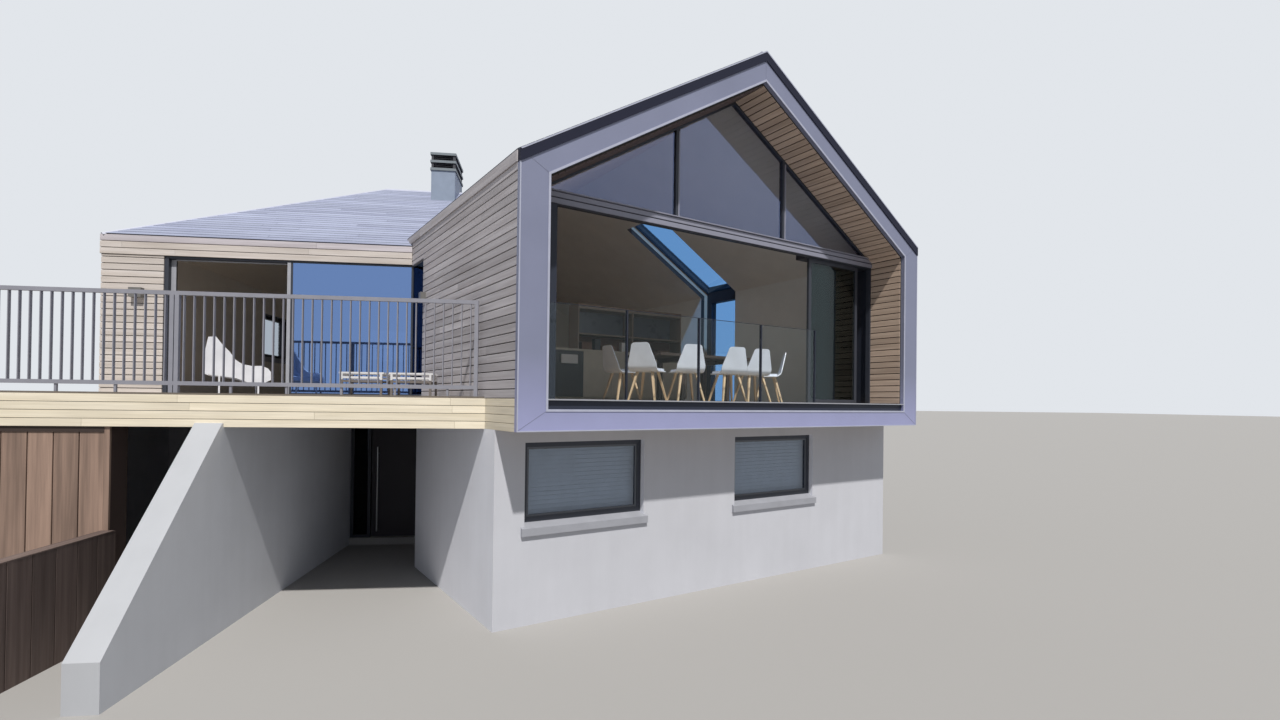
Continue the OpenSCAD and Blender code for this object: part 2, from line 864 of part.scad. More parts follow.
// Bent band that follows the right wall and turns up the roof, between two depths
module slot_band(outer, depth) {
    t1 = gable_w - outer;
    t0 = t1 - depth;
    drop0 = outer / gable_cos;
    drop1 = (outer + depth) / gable_cos;
    polygon([
        [t1, floor_z],
        [t1, gable_top(t1) - drop0],
        [slot_top_t, gable_top(slot_top_t) - drop0],
        [slot_top_t, gable_top(slot_top_t) - drop1],
        [t0, gable_top(t0) - drop1],
        [t0, floor_z]
    ]);
}

slot_in = 40;
slot_d = 140;
slot_bar = 30;
slot_side = 170;
slot_head = 330;
slot_glass_in = 20;

// Part of the slot's band, between two depths, that lies in its wall pane and its roof pane
module slot_panes(outer, depth) {
    roof_t = gable_w - slot_in - slot_d - 2 * lap;
    along_s(slot_s + slot_bar, slot_s + slot_w - slot_side) intersection() {
        slot_band(outer, depth);
        translate([0, floor_z + slot_bar]) square([far, gable_eave_h - slot_head - slot_bar]);
    }
    along_s(slot_s + slot_bar, slot_s + slot_w - slot_bar) intersection() {
        slot_band(outer, depth);
        translate([slot_top_t + slot_bar, 0]) square([roof_t - slot_top_t - slot_bar, far]);
    }
}

module slot_frame() {
    color("darkslategray") gable() difference() {
        along_s(slot_s, slot_s + slot_w) slot_band(slot_in, slot_d);
        slot_panes(slot_in - 1, slot_d + 2);
    }
}

module slot_glass() {
    color("lightblue", 0.5) gable() slot_panes(slot_in + slot_d - glass_t - slot_glass_in, glass_t);
}

module wing_front_wall() {
    x0 = -wing_len + board_t;
    color("wheat") cut_by_gable(board_t) intersection() {
        wing_mass(wing_roof_t + seat_gap, wing_y + board_t, x0);
        difference() {
            box([x0, wing_y + board_t, floor_z], [0, wing_y + shell_t, far]);
            box([-wing_len + pier_w, 0, floor_z - 1], [far, far, floor_z + terrace_door_h]);
        }
    }
}

function wing_under(x) = wing_eave_z - wing_roof_t - seat_gap + wing_slope * (x + wing_len);

module wing_end_wall() {
    x0 = -wing_len + board_t;
    x1 = -wing_len + shell_t;
    color("wheat") site() difference() {
        along_y(wing_y + shell_t, wing_back_y - shell_t)
            polygon([[x0, floor_z], [x1, floor_z], [x1, wing_under(x1)], [x0, wing_under(x0)]]);
        box([-far, end_window_y, upper_low_z - sill_h],
            [x1 + 1, end_window_y + window_w, upper_low_z + window_h]);
    }
}

module wing_rear_wall() {
    x0 = -wing_len + board_t;
    color("wheat") cut_by_gable(board_t) intersection() {
        wing_mass(wing_roof_t + seat_gap, wing_y + board_t, x0);
        box([x0, wing_back_y - shell_t, floor_z], [0, wing_back_y - board_t, far]);
    }
}

module wing_slab(front) {
    y0 = front ? wing_y : wing_back_y;
    along_x(-wing_len, 0) polygon([
        [y0, wing_eave_z], [wing_ridge_y, wing_ridge_z],
        [wing_ridge_y, wing_ridge_z - wing_roof_t], [y0, wing_eave_z - wing_roof_t]
    ]);
}

module wing_roof_front() {
    color("lavender") cut_by_gable(0) intersection() {
        wing_slab(true);
        linear_extrude(far) polygon([
            [-wing_len, wing_y], [0, wing_y], [0, wing_ridge_y], [hip_x, wing_ridge_y]
        ]);
    }
}

module wing_roof_back() {
    color("lavender") cut_by_gable(0) intersection() {
        wing_slab(false);
        linear_extrude(far) polygon([
            [-wing_len, wing_back_y], [hip_x, wing_ridge_y], [0, wing_ridge_y], [0, wing_back_y]
        ]);
    }
}

module wing_roof_hip() {
    color("lavender") site() intersection() {
        along_y(wing_y, wing_back_y) polygon([
            [-wing_len, wing_eave_z], [hip_x, wing_ridge_z],
            [hip_x, wing_ridge_z - wing_roof_t], [-wing_len, wing_eave_z - wing_roof_t]
        ]);
        linear_extrude(far) polygon([
            [-wing_len, wing_y], [hip_x, wing_ridge_y], [-wing_len, wing_back_y]
        ]);
    }
}

// Terrace door: an opening left half, and a glazed right half that turns the corner
terrace_door_x = -wing_len + pier_w;
terrace_door_mid = -3890;
door_mid_w = 86;
door_head_t = 30;
corner_in = 20;
corner_pane_in = corner_in + (corner_post_w - glass_t) / 2;
corner_end = board_t - seat_gap;
threshold_h = 30;

module terrace_door_frame() {
    y0 = wing_y + corner_in;
    low = floor_z;
    top = floor_z + terrace_door_h;
    inner_top = top - door_head_t;
    color("darkslategray") {
        cut_by_gable(corner_end) difference() {
            box([terrace_door_x, y0, low], [0, y0 + frame_d, top]);
            box([terrace_door_x + frame_w, 0, low + threshold_h],
                [terrace_door_mid - door_mid_w / 2, far, inner_top]);
            box([terrace_door_mid + door_mid_w / 2, 0, low + frame_w], [far, far, inner_top]);
        }
        intersection() {
            site() box([-wing_len, y0, low], [0, y0 + corner_post_w, top]);
            gable() box([corner_end - corner_post_w, 0, low], [corner_end, far, top]);
        }
        gable() difference() {
            box([corner_in, corner_s - corner_window_w, low], [corner_in + frame_d, corner_s, top]);
            box([0, corner_s - corner_window_w + frame_w, low + frame_w], [far, far, inner_top]);
        }
        gable() box([corner_in, corner_s - corner_post_w, low], [corner_in + corner_post_w, corner_s, top]);
    }
}

module terrace_door_glass() {
    low = floor_z + frame_w;
    top = floor_z + terrace_door_h - door_head_t;
    color("lightblue", 0.5) {
        cut_by_gable(corner_end - corner_post_w - seat_gap)
            box([terrace_door_mid + door_mid_w / 2, wing_y + corner_pane_in, low],
                [0, wing_y + corner_pane_in + glass_t, top]);
        gable() box([corner_pane_in, corner_s - corner_window_w + frame_w, low],
            [corner_pane_in + glass_t, corner_s - corner_post_w, top]);
    }
}

module chimney_stack() {
    color("darkgray") difference() {
        site() box([-chimney_x, chimney_y, wing_eave_z],
            [-chimney_x + chimney_w, chimney_y + chimney_l, floor_z + chimney_h]);
        site() wing_mass(0, wing_y, -wing_len);
    }
}

blade_w = 34;
blade_t = 5;
blade_tilt = 35;
cowl_out = 20;

// Blades between two corner posts of the cowl, along X from the origin, with the open side towards -Y
module cowl_side(length) {
    pitch = cowl_tier_h / cowl_blades;
    for (i = [0 : cowl_blades - 1]) translate([-lap, 0, (i + 0.5) * pitch])
        rotate([blade_tilt, 0, 0]) translate([0, -blade_w / 2, -blade_t / 2])
            cube([length + 2 * lap, blade_w, blade_t]);
}

// Two open tiers of louvres between flat plates
module chimney_cowl() {
    w = chimney_w;
    l = chimney_l;
    side_w = w - 2 * cowl_post;
    side_l = l - 2 * cowl_post;
    mid = cowl_post / 2;
    tier = cowl_tier_h + cowl_plate_t;
    color("gray") site() translate([-chimney_x, chimney_y, floor_z + chimney_h]) {
        for (i = [0 : 2]) translate([0, 0, i * tier])
            box([-cowl_out, -cowl_out, 0], [w + cowl_out, l + cowl_out, cowl_plate_t]);
        for (i = [0 : 1]) translate([0, 0, i * tier + cowl_plate_t]) {
            for (x = [0, w - cowl_post], y = [0, l - cowl_post])
                translate([x, y, -lap]) cube([cowl_post, cowl_post, cowl_tier_h + 2 * lap]);
            translate([cowl_post, mid, 0]) cowl_side(side_w);
            translate([w - cowl_post, l - mid, 0]) rotate([0, 0, 180]) cowl_side(side_w);
            translate([w - mid, cowl_post, 0]) rotate([0, 0, 90]) cowl_side(side_l);
            translate([mid, l - cowl_post, 0]) rotate([0, 0, -90]) cowl_side(side_l);
        }
    }
}

lamp_x = -wing_len + 444;
lamp_z = 1520;
lamp_w = 180;
lamp_h = 150;
lamp_d = 90;
lamp_small = 110;
lamp_small_d = 80;
lamp_off = 57;
lamp_small_s = corner_s - corner_window_w - lamp_off - lamp_small;

// A flat box lamp on the hipped wing and a smaller one on the side wall of the gable wing
module wall_lamps() {
    color("silver") {
        site() translate([lamp_x, wing_y - lamp_d, floor_z + lamp_z])
            cube([lamp_w, lamp_d + board_t, lamp_h]);
        gable() translate([-lamp_small_d, lamp_small_s, floor_z + lamp_z])
            cube([lamp_small_d + board_t, lamp_small, lamp_small]);
    }
}

// Kitchen run across the gable wing, with drawers on the left and an open niche above the worktop
kitchen_off = 145;
kitchen_t = gable_w / 2 + kitchen_off - kitchen_l / 2;
kitchen_s = 3800;
toe_h = 60;
toe_in = 50;
kitchen_unit = 600;
worktop_t = 30;
worktop_out = 15;
panel_t = 25;
niche_d = 380;
niche_shelf = 1230;
niche_head = 90;
groove = 8;
drawer_lines = [630, 700, 800];

module kitchen_units() {
    t0 = kitchen_t + kitchen_unit;
    t1 = kitchen_t + kitchen_l;
    s1 = kitchen_s + kitchen_d;
    n = floor((kitchen_l - 1) / kitchen_unit);
    color("linen") gable() translate([0, 0, floor_z]) {
        difference() {
            box([kitchen_t, kitchen_s, 0], [t1, s1, counter_h - worktop_t]);
            for (i = [1 : n]) translate([kitchen_t + i * kitchen_unit, kitchen_s, 0])
                box([-groove / 2, -1, toe_h], [groove / 2, groove, counter_h]);
            for (z = drawer_lines)
                box([t0, kitchen_s - 1, z], [t0 + 2 * kitchen_unit, kitchen_s + groove, z + groove]);
            box([kitchen_t - 1, kitchen_s - 1, -1], [t1 + 1, kitchen_s + toe_in, toe_h]);
        }
        box([kitchen_t, kitchen_s - worktop_out, counter_h - worktop_t - lap], [t1, s1, counter_h]);
        box([t0, s1 - panel_t, counter_h - lap], [t1, s1, niche_h + niche_head]);
        for (t = [t0, t0 + 2 * kitchen_unit, t1 - panel_t])
            box([t, s1 - niche_d, counter_h - lap], [t + panel_t, s1, niche_h + niche_head]);
        for (z = [[niche_shelf, panel_t], [niche_h, niche_head]])
            box([t0, s1 - niche_d, z[0]], [t1, s1, z[0] + z[1]]);
    }
}

// Dining table on two cross frames, long side along the gable front
table_off = 340;
table_t = gable_w / 2 + table_off - table_l / 2;
table_s = 1500;

module dining_table() {
    top_t = 40;
    leg = 70;
    in_t = 520;
    in_s = 130;
    color("saddlebrown") gable() translate([table_t, table_s, floor_z]) {
        translate([0, 0, table_h - top_t]) cube([table_l, table_w, top_t]);
        for (x = [in_t, table_l - in_t - leg]) {
            for (y = [in_s, table_w - in_s - leg])
                translate([x, y, 0]) cube([leg, leg, table_h - top_t + lap]);
            box([x, in_s, table_h - top_t - leg], [x + leg, table_w - in_s, table_h - top_t + lap]);
        }
        box([in_t, (table_w - leg) / 2, table_h - top_t - leg],
            [table_l - in_t, (table_w + leg) / 2, table_h - top_t + lap]);
    }
}

bend_y = 105;
bend_r = 90;
shell_bend_n = 6;
corner_n = 5;
chair_shell_t = 15;
chair_top_w = 300;
chair_corner_r = 60;
chair_foot = 215;
pad_t = 36;
pad_in = 25;
leg_top_x = 120;
leg_top_y = 100;
leg_foot_w = 24;
leg_top_w = 36;

function turned(points) = [for (i = [len(points) - 1 : -1 : 0]) points[i]];
function arc(x, y, r, a0, a1, n) =
    [for (i = [0 : n]) let (a = a0 + (a1 - a0) * i / n) [x + r * cos(a), y + r * sin(a)]];

// Face of a chair shell seen from the side, from the seat's front edge to the top of the back
function shell_line(out) =
    let (sweep = arc(-bend_y, seat_h + bend_r, bend_r + out, -90, back_lean - 180, shell_bend_n),
         last = sweep[shell_bend_n],
         end_z = chair_h + lap,
         end_y = last[0] - tan(back_lean) * (end_z - last[1]))
    concat([[chair_d / 2 + lap, seat_h - out]], sweep, [[end_y, end_z]]);

// Rounded outline, half as wide as half, from y0 to y1, with both corners at y1 rounded
function tongue(half, y0, y1, r) = concat(
    [[half, y0]], arc(half - r, y1 - r, r, 0, 90, corner_n),
    arc(r - half, y1 - r, r, 90, 180, corner_n), [[-half, y0]]
);

// A chair leg from one side: it splays out and narrows towards the foot
module leg_side(foot, top) {
    polygon([
        [foot - leg_foot_w / 2, 0], [foot + leg_foot_w / 2, 0],
        [top + leg_top_w / 2, seat_h - chair_shell_t / 2], [top - leg_top_w / 2, seat_h - chair_shell_t / 2]
    ]);
}

// Dining chair: a bent shell with a seat pad on four splayed legs, facing +Y
module chair() {
    half = chair_w / 2;
    wide = half + lap;
    top = chair_top_w / 2;
    r = chair_corner_r;
    taper_z = seat_h + bend_r;
    intersection() {
        along_x(-2 * half, 2 * half) polygon(concat(shell_line(0), turned(shell_line(chair_shell_t))));
        along_y(-chair_d, chair_d) polygon(concat(
            [[wide, 0], [wide, taper_z]],
            arc(top - r, chair_h - r, r, 0, 90, corner_n), arc(r - top, chair_h - r, r, 90, 180, corner_n),
            [[-wide, taper_z], [-wide, 0]]
        ));
        linear_extrude(2 * chair_h) polygon(tongue(half, -chair_d, chair_d / 2, 1.5 * r));
    }
    translate([0, 0, seat_h - lap]) linear_extrude(pad_t)
        polygon(tongue(half - pad_in, -bend_y - pad_in, chair_d / 2 - pad_in / 2, 1.5 * r));
    for (x = [-1, 1], y = [-1, 1]) intersection() {
        along_y(-chair_d, chair_d) leg_side(x * chair_foot, x * leg_top_x);
        along_x(-chair_w, chair_w) leg_side(y * chair_foot, y * leg_top_y);
    }
}

// Seat middles from the table's near left corner, and turns from facing into the house
chair_places = [
    [-310, 600, -90], [-250, -30, -60], [350, -180, -15],
    [1130, -260, -10], [1660, -260, -10], [table_l + 200, -40, 50]
];

module dining_chairs() {
    color("white") gable() translate([table_t, table_s, floor_z])
        for (p = chair_places) translate([p[0], p[1], 0]) rotate([0, 0, p[2]]) chair();
}

// Lounge chair on the terrace: two solid sides with a low seat and a high back between them
lounge_x = -4436;
lounge_y = 2600;
lounge_side = 30;
lounge_top = [[0, 320], [7, 600], [45, 812], [134, 823], [206, 721], [297, 619], [371, 506], [458, 447],
    [570, 428], [693, 435], [766, 400], [804, 351]];
lounge_under = [[806, 235], [695, 173], [547, 180], [389, 245], [212, 271], [80, 281]];

module lounge_chair() {
    seat = [[50, 290], [60, 780], [115, 780], [190, 520], [290, 380], [540, 320], [740, 340], [740, 280],
        [560, 225], [290, 275]];
    foot = [20, 20, 300];
    feet_x = [170, 640];
    color("white") site() translate([lounge_x, lounge_y, floor_z]) rotate([0, 0, gable_turn]) {
        for (y = [0, lounge_w - lounge_side])
            along_y(y, y + lounge_side) polygon(concat(lounge_top, lounge_under));
        along_y(lounge_side - lap, lounge_w - lounge_side + lap) polygon(seat);
        for (x = feet_x, y = [0, lounge_w - foot[1]]) translate([x, y, 0]) cube(foot);
    }
}

// Two low slatted tables beside each other on the terrace
low_tables_y = 1900;
low_table_d = 420;
low_table_gap = 65;
low_table_clear = 75;
low_tables_right = -(low_tables_y + low_table_d) * tan(gable_turn) - low_table_clear;
slat_t = 22;
slat_n = 5;

module low_table() {
    rail = 28;
    inset = 20;
    slat_gap = 18;
    slat = (low_table_d + slat_gap) / slat_n - slat_gap;
    under = low_table_h - slat_t;
    drops = [64, 112];
    for (i = [0 : slat_n - 1])
        translate([0, i * (slat + slat_gap), under]) cube([low_table_l, slat, slat_t]);
    for (x = [inset, low_table_l - inset - rail]) {
        translate([x, 0, under - rail + lap]) cube([rail, low_table_d, rail]);
        for (y = [0, low_table_d - rail]) translate([x, y, 0]) cube([rail, rail, under + lap]);
    }
    for (y = [0, low_table_d - rail], drop = drops)
        translate([inset, y, under - drop]) cube([low_table_l - 2 * inset, rail, rail]);
}

module low_tables() {
    step = low_table_l + low_table_gap;
    color("whitesmoke") site() for (i = [0 : 1])
        translate([low_tables_right - low_table_l - i * step, low_tables_y, floor_z]) low_table();
}

lower_front_wall();
lower_left_wall();
lower_right_wall();
lower_rear_wall();
lower_end_wall();
lower_back_wall();
recess_pier();
recess_lintel();
left_buttress();
plank_wall();
plank_retaining_wall();
ground_floor();
window_frames();
window_glass();
window_sills();
entrance_frame();
entrance_sidelight();
door_hinges();
entrance_door();
door_pull();
gable_floor();
wing_floor();
terrace_deck();
terrace_fascia();
front_railing();
end_railing();
gable_left_wall();
gable_right_wall();
gable_rear_wall();
gable_roof_left();
gable_roof_right();
gable_casing();
verge_trim();
reveal_lining();
gable_sill();
gable_window_frame();
gable_glass();
sliding_leaves();
sliding_glass();
glass_balustrade();
slot_frame();
slot_glass();
wing_front_wall();
wing_end_wall();
wing_rear_wall();
wing_roof_front();
wing_roof_back();
wing_roof_hip();
terrace_door_frame();
terrace_door_glass();
chimney_stack();
chimney_cowl();
wall_lamps();
kitchen_units();
dining_table();
dining_chairs();
lounge_chair();
low_tables();
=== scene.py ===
"""Beach house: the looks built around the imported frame. Lengths are in metres, in the frame's own axes."""

import math
import random

import bmesh
import bpy
from mathutils import Matrix, Vector


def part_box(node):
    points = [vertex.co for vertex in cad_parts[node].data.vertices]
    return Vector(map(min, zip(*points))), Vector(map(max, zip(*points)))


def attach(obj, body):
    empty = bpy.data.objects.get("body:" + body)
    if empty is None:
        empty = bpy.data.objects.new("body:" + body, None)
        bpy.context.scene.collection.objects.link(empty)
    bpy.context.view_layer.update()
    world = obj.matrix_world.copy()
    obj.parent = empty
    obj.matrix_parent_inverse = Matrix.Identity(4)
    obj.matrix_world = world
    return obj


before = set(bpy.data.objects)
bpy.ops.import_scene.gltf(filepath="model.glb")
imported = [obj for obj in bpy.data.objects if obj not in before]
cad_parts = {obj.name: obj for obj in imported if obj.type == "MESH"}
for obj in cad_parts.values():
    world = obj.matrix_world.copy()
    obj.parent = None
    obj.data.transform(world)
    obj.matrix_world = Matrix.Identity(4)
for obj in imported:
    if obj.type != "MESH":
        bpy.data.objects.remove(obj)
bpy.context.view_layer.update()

HOUSE = "house"
X, Y, Z = Vector((1, 0, 0)), Vector((0, 1, 0)), Vector((0, 0, 1))

# Main sizes of the house, as in the construction
GABLE_TURN = math.radians(26.6)
GABLE_W = 7.270
GABLE_EAVE = 2.680
GABLE_RIDGE = 4.890
TRIM_PROUD = 0.015
CASING_D = 0.075
CASING_W = 0.365
RAIL_H = 0.247
FLOOR_T = 0.362
REVEAL_D = 0.640
LINING_T = 0.020
SHELL_T = 0.365
BOARD_T = 0.022
EAVE_LIP = 0.130
FRAME_W = 0.060
FRAME_D = 0.080
TRANSOM_H = 2.370
TRANSOM_T = 0.170
MULLION_OFF = 1.045
POST_START = 0.500
POST_S = 0.490
POST_PITCH = 1.185
POST_H = 1.150
BAYS = 4
SLOT_S = 4.170
SLOT_W = 1.190
SLOT_TOP = 4.780
WING_LEN = 6.654
WING_Y = 3.976
WING_D = 6.720
WING_EAVE = 2.500
WING_RIDGE = 4.490
PIER_W = 0.897
DOOR_H = 2.190
DOOR_MID = -3.890
CORNER_W = 0.680
CORNER_IN = 0.020
TERRACE_Y = 0.865
TERRACE_PAST = 1.450
FASCIA_T = 0.040
PLANK_RIGHT = 4.560
PLANK_IN = 0.055
RETAIN_LEN = 2.520
RETAIN_T = 0.100
RETAIN_H = 1.150
WINDOW_W = 1.700
WINDOW_H = 0.955
WINDOW_HEAD = 0.520
WINDOW_IN = 0.080
WINDOW_A = 0.380
WINDOW_B = 3.700
END_WINDOW_IN = 0.080
UPPER_SILL = 0.960
SILL_H = 0.145
WALL_T = 0.300
CHIMNEY_H = 4.750
COWL_STEP = 0.160
COWL_PLATE = 0.050
KITCHEN_T = 2.280
KITCHEN_S = 3.800
KITCHEN_UNIT = 0.600
KITCHEN_L = 3.000
KITCHEN_D = 0.600
COUNTER_H = 0.930
SEAT_H = 0.447
LOW_TABLE_H = 0.330

# Boards: PITCH is from board to board, GAP the joint between them, LENGTHS the shortest and longest
PITCH = 0.1025
GAP = 0.012
FINE_GAP = 0.006
CHAMFER = 0.003
FINE_CHAMFER = 0.002
LENGTHS = (2.6, 4.8)
LONG = (4, 6)
UNBROKEN = (5, 6)
JOINT_HALF = 0.0012
LEAST_LENGTH = 0.020
LEAST_ROW = 0.010
LEVEL_SLACK = 0.0001
EAVE_BOARD = 0.014
EAVE_GAP = 0.010
EAVE_ROWS = 3
EAVE_PAST = 0.300
ROOF_PITCH = 0.125
ROOF_GAP = 0.010
ROOF_BOARD = 0.016
FASCIA_ROWS = 4
FASCIA_DROP = 0.005
DECK_PITCH = 0.145
DECK_BOARD = 0.018
DECK_CLEAR = 0.030
PLANK_PITCH = 0.258
PLANK_BOARD = 0.022
PLANK_ROWS = 14
RETAIN_PITCH = 0.280
RETAIN_GAP = 0.008
RETAIN_BOARD = 0.018
REVEAL_BOARD = 0.012
REVEAL_GAP = 0.014
CHEEK_CLEAR = 0.008
RAKE_FOOT = 0.010
RAKE_CLEAR = 0.012
CLEAR = 0.001

COS, SIN, TAN = math.cos(GABLE_TURN), math.sin(GABLE_TURN), math.tan(GABLE_TURN)
T, S = Vector((COS, SIN, 0)), Vector((-SIN, COS, 0))
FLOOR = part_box("wing_floor")[1].z
UNDER = FLOOR - FLOOR_T
trim_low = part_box("verge_trim")[0]
ORIGIN = Vector((trim_low.x + CASING_D * SIN, trim_low.y, 0))
SLOPE = (GABLE_RIDGE - GABLE_EAVE) / (GABLE_W / 2)
SLOPE_COS = math.cos(math.atan(SLOPE))
EAVE_LOW = GABLE_EAVE - EAVE_LIP
SLOT_FAR = SLOT_S + SLOT_W
WING_SLOPE = (WING_RIDGE - WING_EAVE) / (WING_D / 2)
WING_RISE = math.sqrt(1 + WING_SLOPE ** 2)
WING_BACK = WING_Y + WING_D
WING_MID = WING_Y + WING_D / 2
HIP_X = -WING_LEN + WING_D / 2
EAVE_STEP = GABLE_EAVE - WING_EAVE
GABLE_LEN = WING_BACK / COS
CORNER_S = WING_Y / COS
LEFT_END = -WING_LEN - TERRACE_PAST
PLANK_FRONT = TERRACE_Y + PLANK_IN
RETAIN_FRONT = PLANK_FRONT - RETAIN_LEN
BACK_WINDOWS = (WINDOW_A + WALL_T, WINDOW_B)
END_WINDOW_Y = WING_BACK - SHELL_T - END_WINDOW_IN - WINDOW_W


def at_gable(t, s, z):
    """A point given across, along and above the gable wing, from the upper floor."""
    return ORIGIN + T * t + S * s + Z * (FLOOR + z)


def at_wing(x, y, z):
    """A point given in the terrace's own directions, above the upper floor."""
    return ORIGIN + Vector((x, y, FLOOR + z))


def gable_top(t):
    return GABLE_EAVE + SLOPE * min(t, GABLE_W - t)


def gable_section(d, low):
    """Corners of the gable's outline taken in by d, from the lower left round by the right."""
    eave = gable_top(d) - d / SLOPE_COS
    ridge = GABLE_RIDGE - d / SLOPE_COS
    return [(d, low), (GABLE_W - d, low), (GABLE_W - d, eave), (GABLE_W / 2, ridge), (d, eave)]


# Sides of that outline
SIDES = range(5)
BOTTOM, RIGHT_POST, RIGHT_RAKE, LEFT_RAKE, LEFT_POST = SIDES


def put_in_scene(name, data):
    """A new object of the scene."""
    made = bpy.data.objects.new(name, data)
    bpy.context.scene.collection.objects.link(made)
    return made


def tube_faces(count):
    """Faces of a closed solid between two rings of corners."""
    faces = [(i, (i + 1) % count, count + (i + 1) % count, count + i) for i in range(count)]
    return faces + [tuple(range(count))[::-1], tuple(range(count, 2 * count))]


class Pieces:
    """Collects closed solids with a grain direction and a tone each, and makes one mesh of them."""

    def __init__(self, name, seed):
        self.name = name
        self.draw = random.Random(seed)
        self.points, self.faces, self.grain, self.tone, self.slots = [], [], [], [], []

    def add(self, points, faces, grain, tone, slot=0):
        start = len(self.points)
        self.points += points
        self.grain += grain
        self.tone += [tone] * len(points)
        self.faces += [tuple(start + i for i in face) for face in faces]
        self.slots += [slot] * len(faces)

    def shift(self):
        """A random place in the grain, so that no two boards look alike."""
        return Vector([self.draw.uniform(0, 90) for _ in range(3)])

    def block(self, origin, u, v, n, size, slot=0, tone=None):
        """A plain block from origin, size along the three directions."""
        corners = [(a, b, c) for a in (0, size[0]) for b in (0, size[1]) for c in (0, size[2])]
        points = [origin + u * a + v * b + n * c for a, b, c in corners]
        shift = self.shift()
        faces = [(0, 1, 3, 2), (4, 6, 7, 5), (0, 4, 5, 1), (2, 3, 7, 6), (0, 2, 6, 4), (1, 5, 7, 3)]
        tone = self.draw.random() if tone is None else tone
        self.add(points, faces, [Vector(c) + shift for c in corners], tone, slot)

    def prism(self, corners, vector, tone=0.5):
        """A flat outline carried along a vector."""
        points = list(corners) + [c + vector for c in corners]
        self.add(points, tube_faces(len(corners)), points, tone)

    def ring(self, outer, inner, s0, s1, sides):
        """Strips between two outlines of the gable front, from depth s0 to s1."""
        for i in sides:
            j = (i + 1) % len(SIDES)
            corners = [at_gable(t, s0, z) for t, z in (outer[i], outer[j], inner[j], inner[i])]
            self.prism(corners, S * (s1 - s0))

    def bar(self, place, size, slot=0):
        """A block on the gable front, from a place across, along and above the gable wing."""
        self.block(at_gable(*place), T, Z, S, size, slot)

    def build(self, materials, bevel=0.0):
        mesh = bpy.data.meshes.new(self.name)
        mesh.from_pydata([tuple(p) for p in self.points], [], self.faces)
        grain = mesh.attributes.new("grain", "FLOAT_VECTOR", "POINT")
        grain.data.foreach_set("vector", [c for g in self.grain for c in g])
        tone = mesh.attributes.new("tone", "FLOAT", "POINT")
        tone.data.foreach_set("value", self.tone)
        for m in materials:
            mesh.materials.append(m)
        mesh.polygons.foreach_set("material_index", self.slots)
        work = bmesh.new()
        work.from_mesh(mesh)
        bmesh.ops.recalc_face_normals(work, faces=work.faces)
        work.to_mesh(mesh)
        work.free()
        piece = put_in_scene(self.name, mesh)
        if bevel:
            edge = piece.modifiers.new("edges", "BEVEL")
            edge.width, edge.segments, edge.limit_method = bevel, 2, "ANGLE"
        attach(piece, HOUSE)


def edges_at(loops, v):
    """Where the outline's edges cross height v, as (u, slope of u over v), from left to right."""
    found = []
    for loop in loops:
        for (u0, v0), (u1, v1) in zip(loop, loop[1:] + loop[:1]):
            if (v0 - v) * (v1 - v) < 0:
                lean = (u1 - u0) / (v1 - v0)
                found.append((u0 + lean * (v - v0), lean))
    return sorted(found)


def board_profile(v0, v1, va, vb, thick, chamfer):
    """Section of the board from v0 to v1, cut to the stretch from va to vb, as (height, depth)."""
    heights = [va] + [w for w in (v0 + chamfer, v1 - chamfer) if va < w < vb] + [vb]
    face = [(w, thick - max(0, chamfer - (w - v0), chamfer - (v1 - w))) for w in heights]
    return [(va, 0)] + face + [(vb, 0)]


def lay_boards(pieces, origin, u, v, n, loops, pitch=PITCH, gap=GAP, thick=BOARD_T, chamfer=CHAMFER,
               lengths=LENGTHS, start=None):
    """Lays boards along u over an outline in u and v, thick along n. Loops after the first are holes."""
    low = min(p[1] for p in loops[0]) if start is None else start
    top = max(p[1] for p in loops[0])
    levels = sorted({p[1] for loop in loops for p in loop})
    left = min(p[0] for p in loops[0])
    right = max(p[0] for p in loops[0])
    spare = lengths[0] - (right - left)
    ahead = spare if spare > 0 else lengths[1]
    row = 0
    while low + row * pitch < top - LEAST_ROW:
        v0 = low + row * pitch + gap / 2
        v1 = min(low + (row + 1) * pitch - gap / 2, top)
        row += 1
        joints = [left - pieces.draw.uniform(0, ahead)]
        while joints[-1] < right:
            joints.append(joints[-1] + pieces.draw.uniform(*lengths))
        tones = [pieces.draw.random() for _ in joints]
        shifts = [pieces.shift() for _ in joints]
        cuts = [v0] + [w for w in levels if v0 + LEVEL_SLACK < w < v1 - LEVEL_SLACK] + [v1]
        for va, vb in zip(cuts, cuts[1:]):
            mid = (va + vb) / 2
            ends = edges_at(loops, mid)
            profile = board_profile(v0, v1, va, vb, thick, chamfer)
            for (ul, kl), (ur, kr) in zip(ends[::2], ends[1::2]):
                for j0, j1, tone, shift in zip(joints, joints[1:], tones, shifts):
                    a, ka = (ul, kl) if j0 < ul else (j0 + JOINT_HALF, 0)
                    b, kb = (ur, kr) if j1 > ur else (j1 - JOINT_HALF, 0)
                    if b - a < LEAST_LENGTH:
                        continue
                    flat = [(a + ka * (w - mid), w, d) for w, d in profile]
                    flat += [(b + kb * (w - mid), w, d) for w, d in profile]
                    points = [origin + u * p + v * q + n * d for p, q, d in flat]
                    grain = [Vector(c) + shift for c in flat]
                    pieces.add(points, tube_faces(len(profile)), grain, tone)


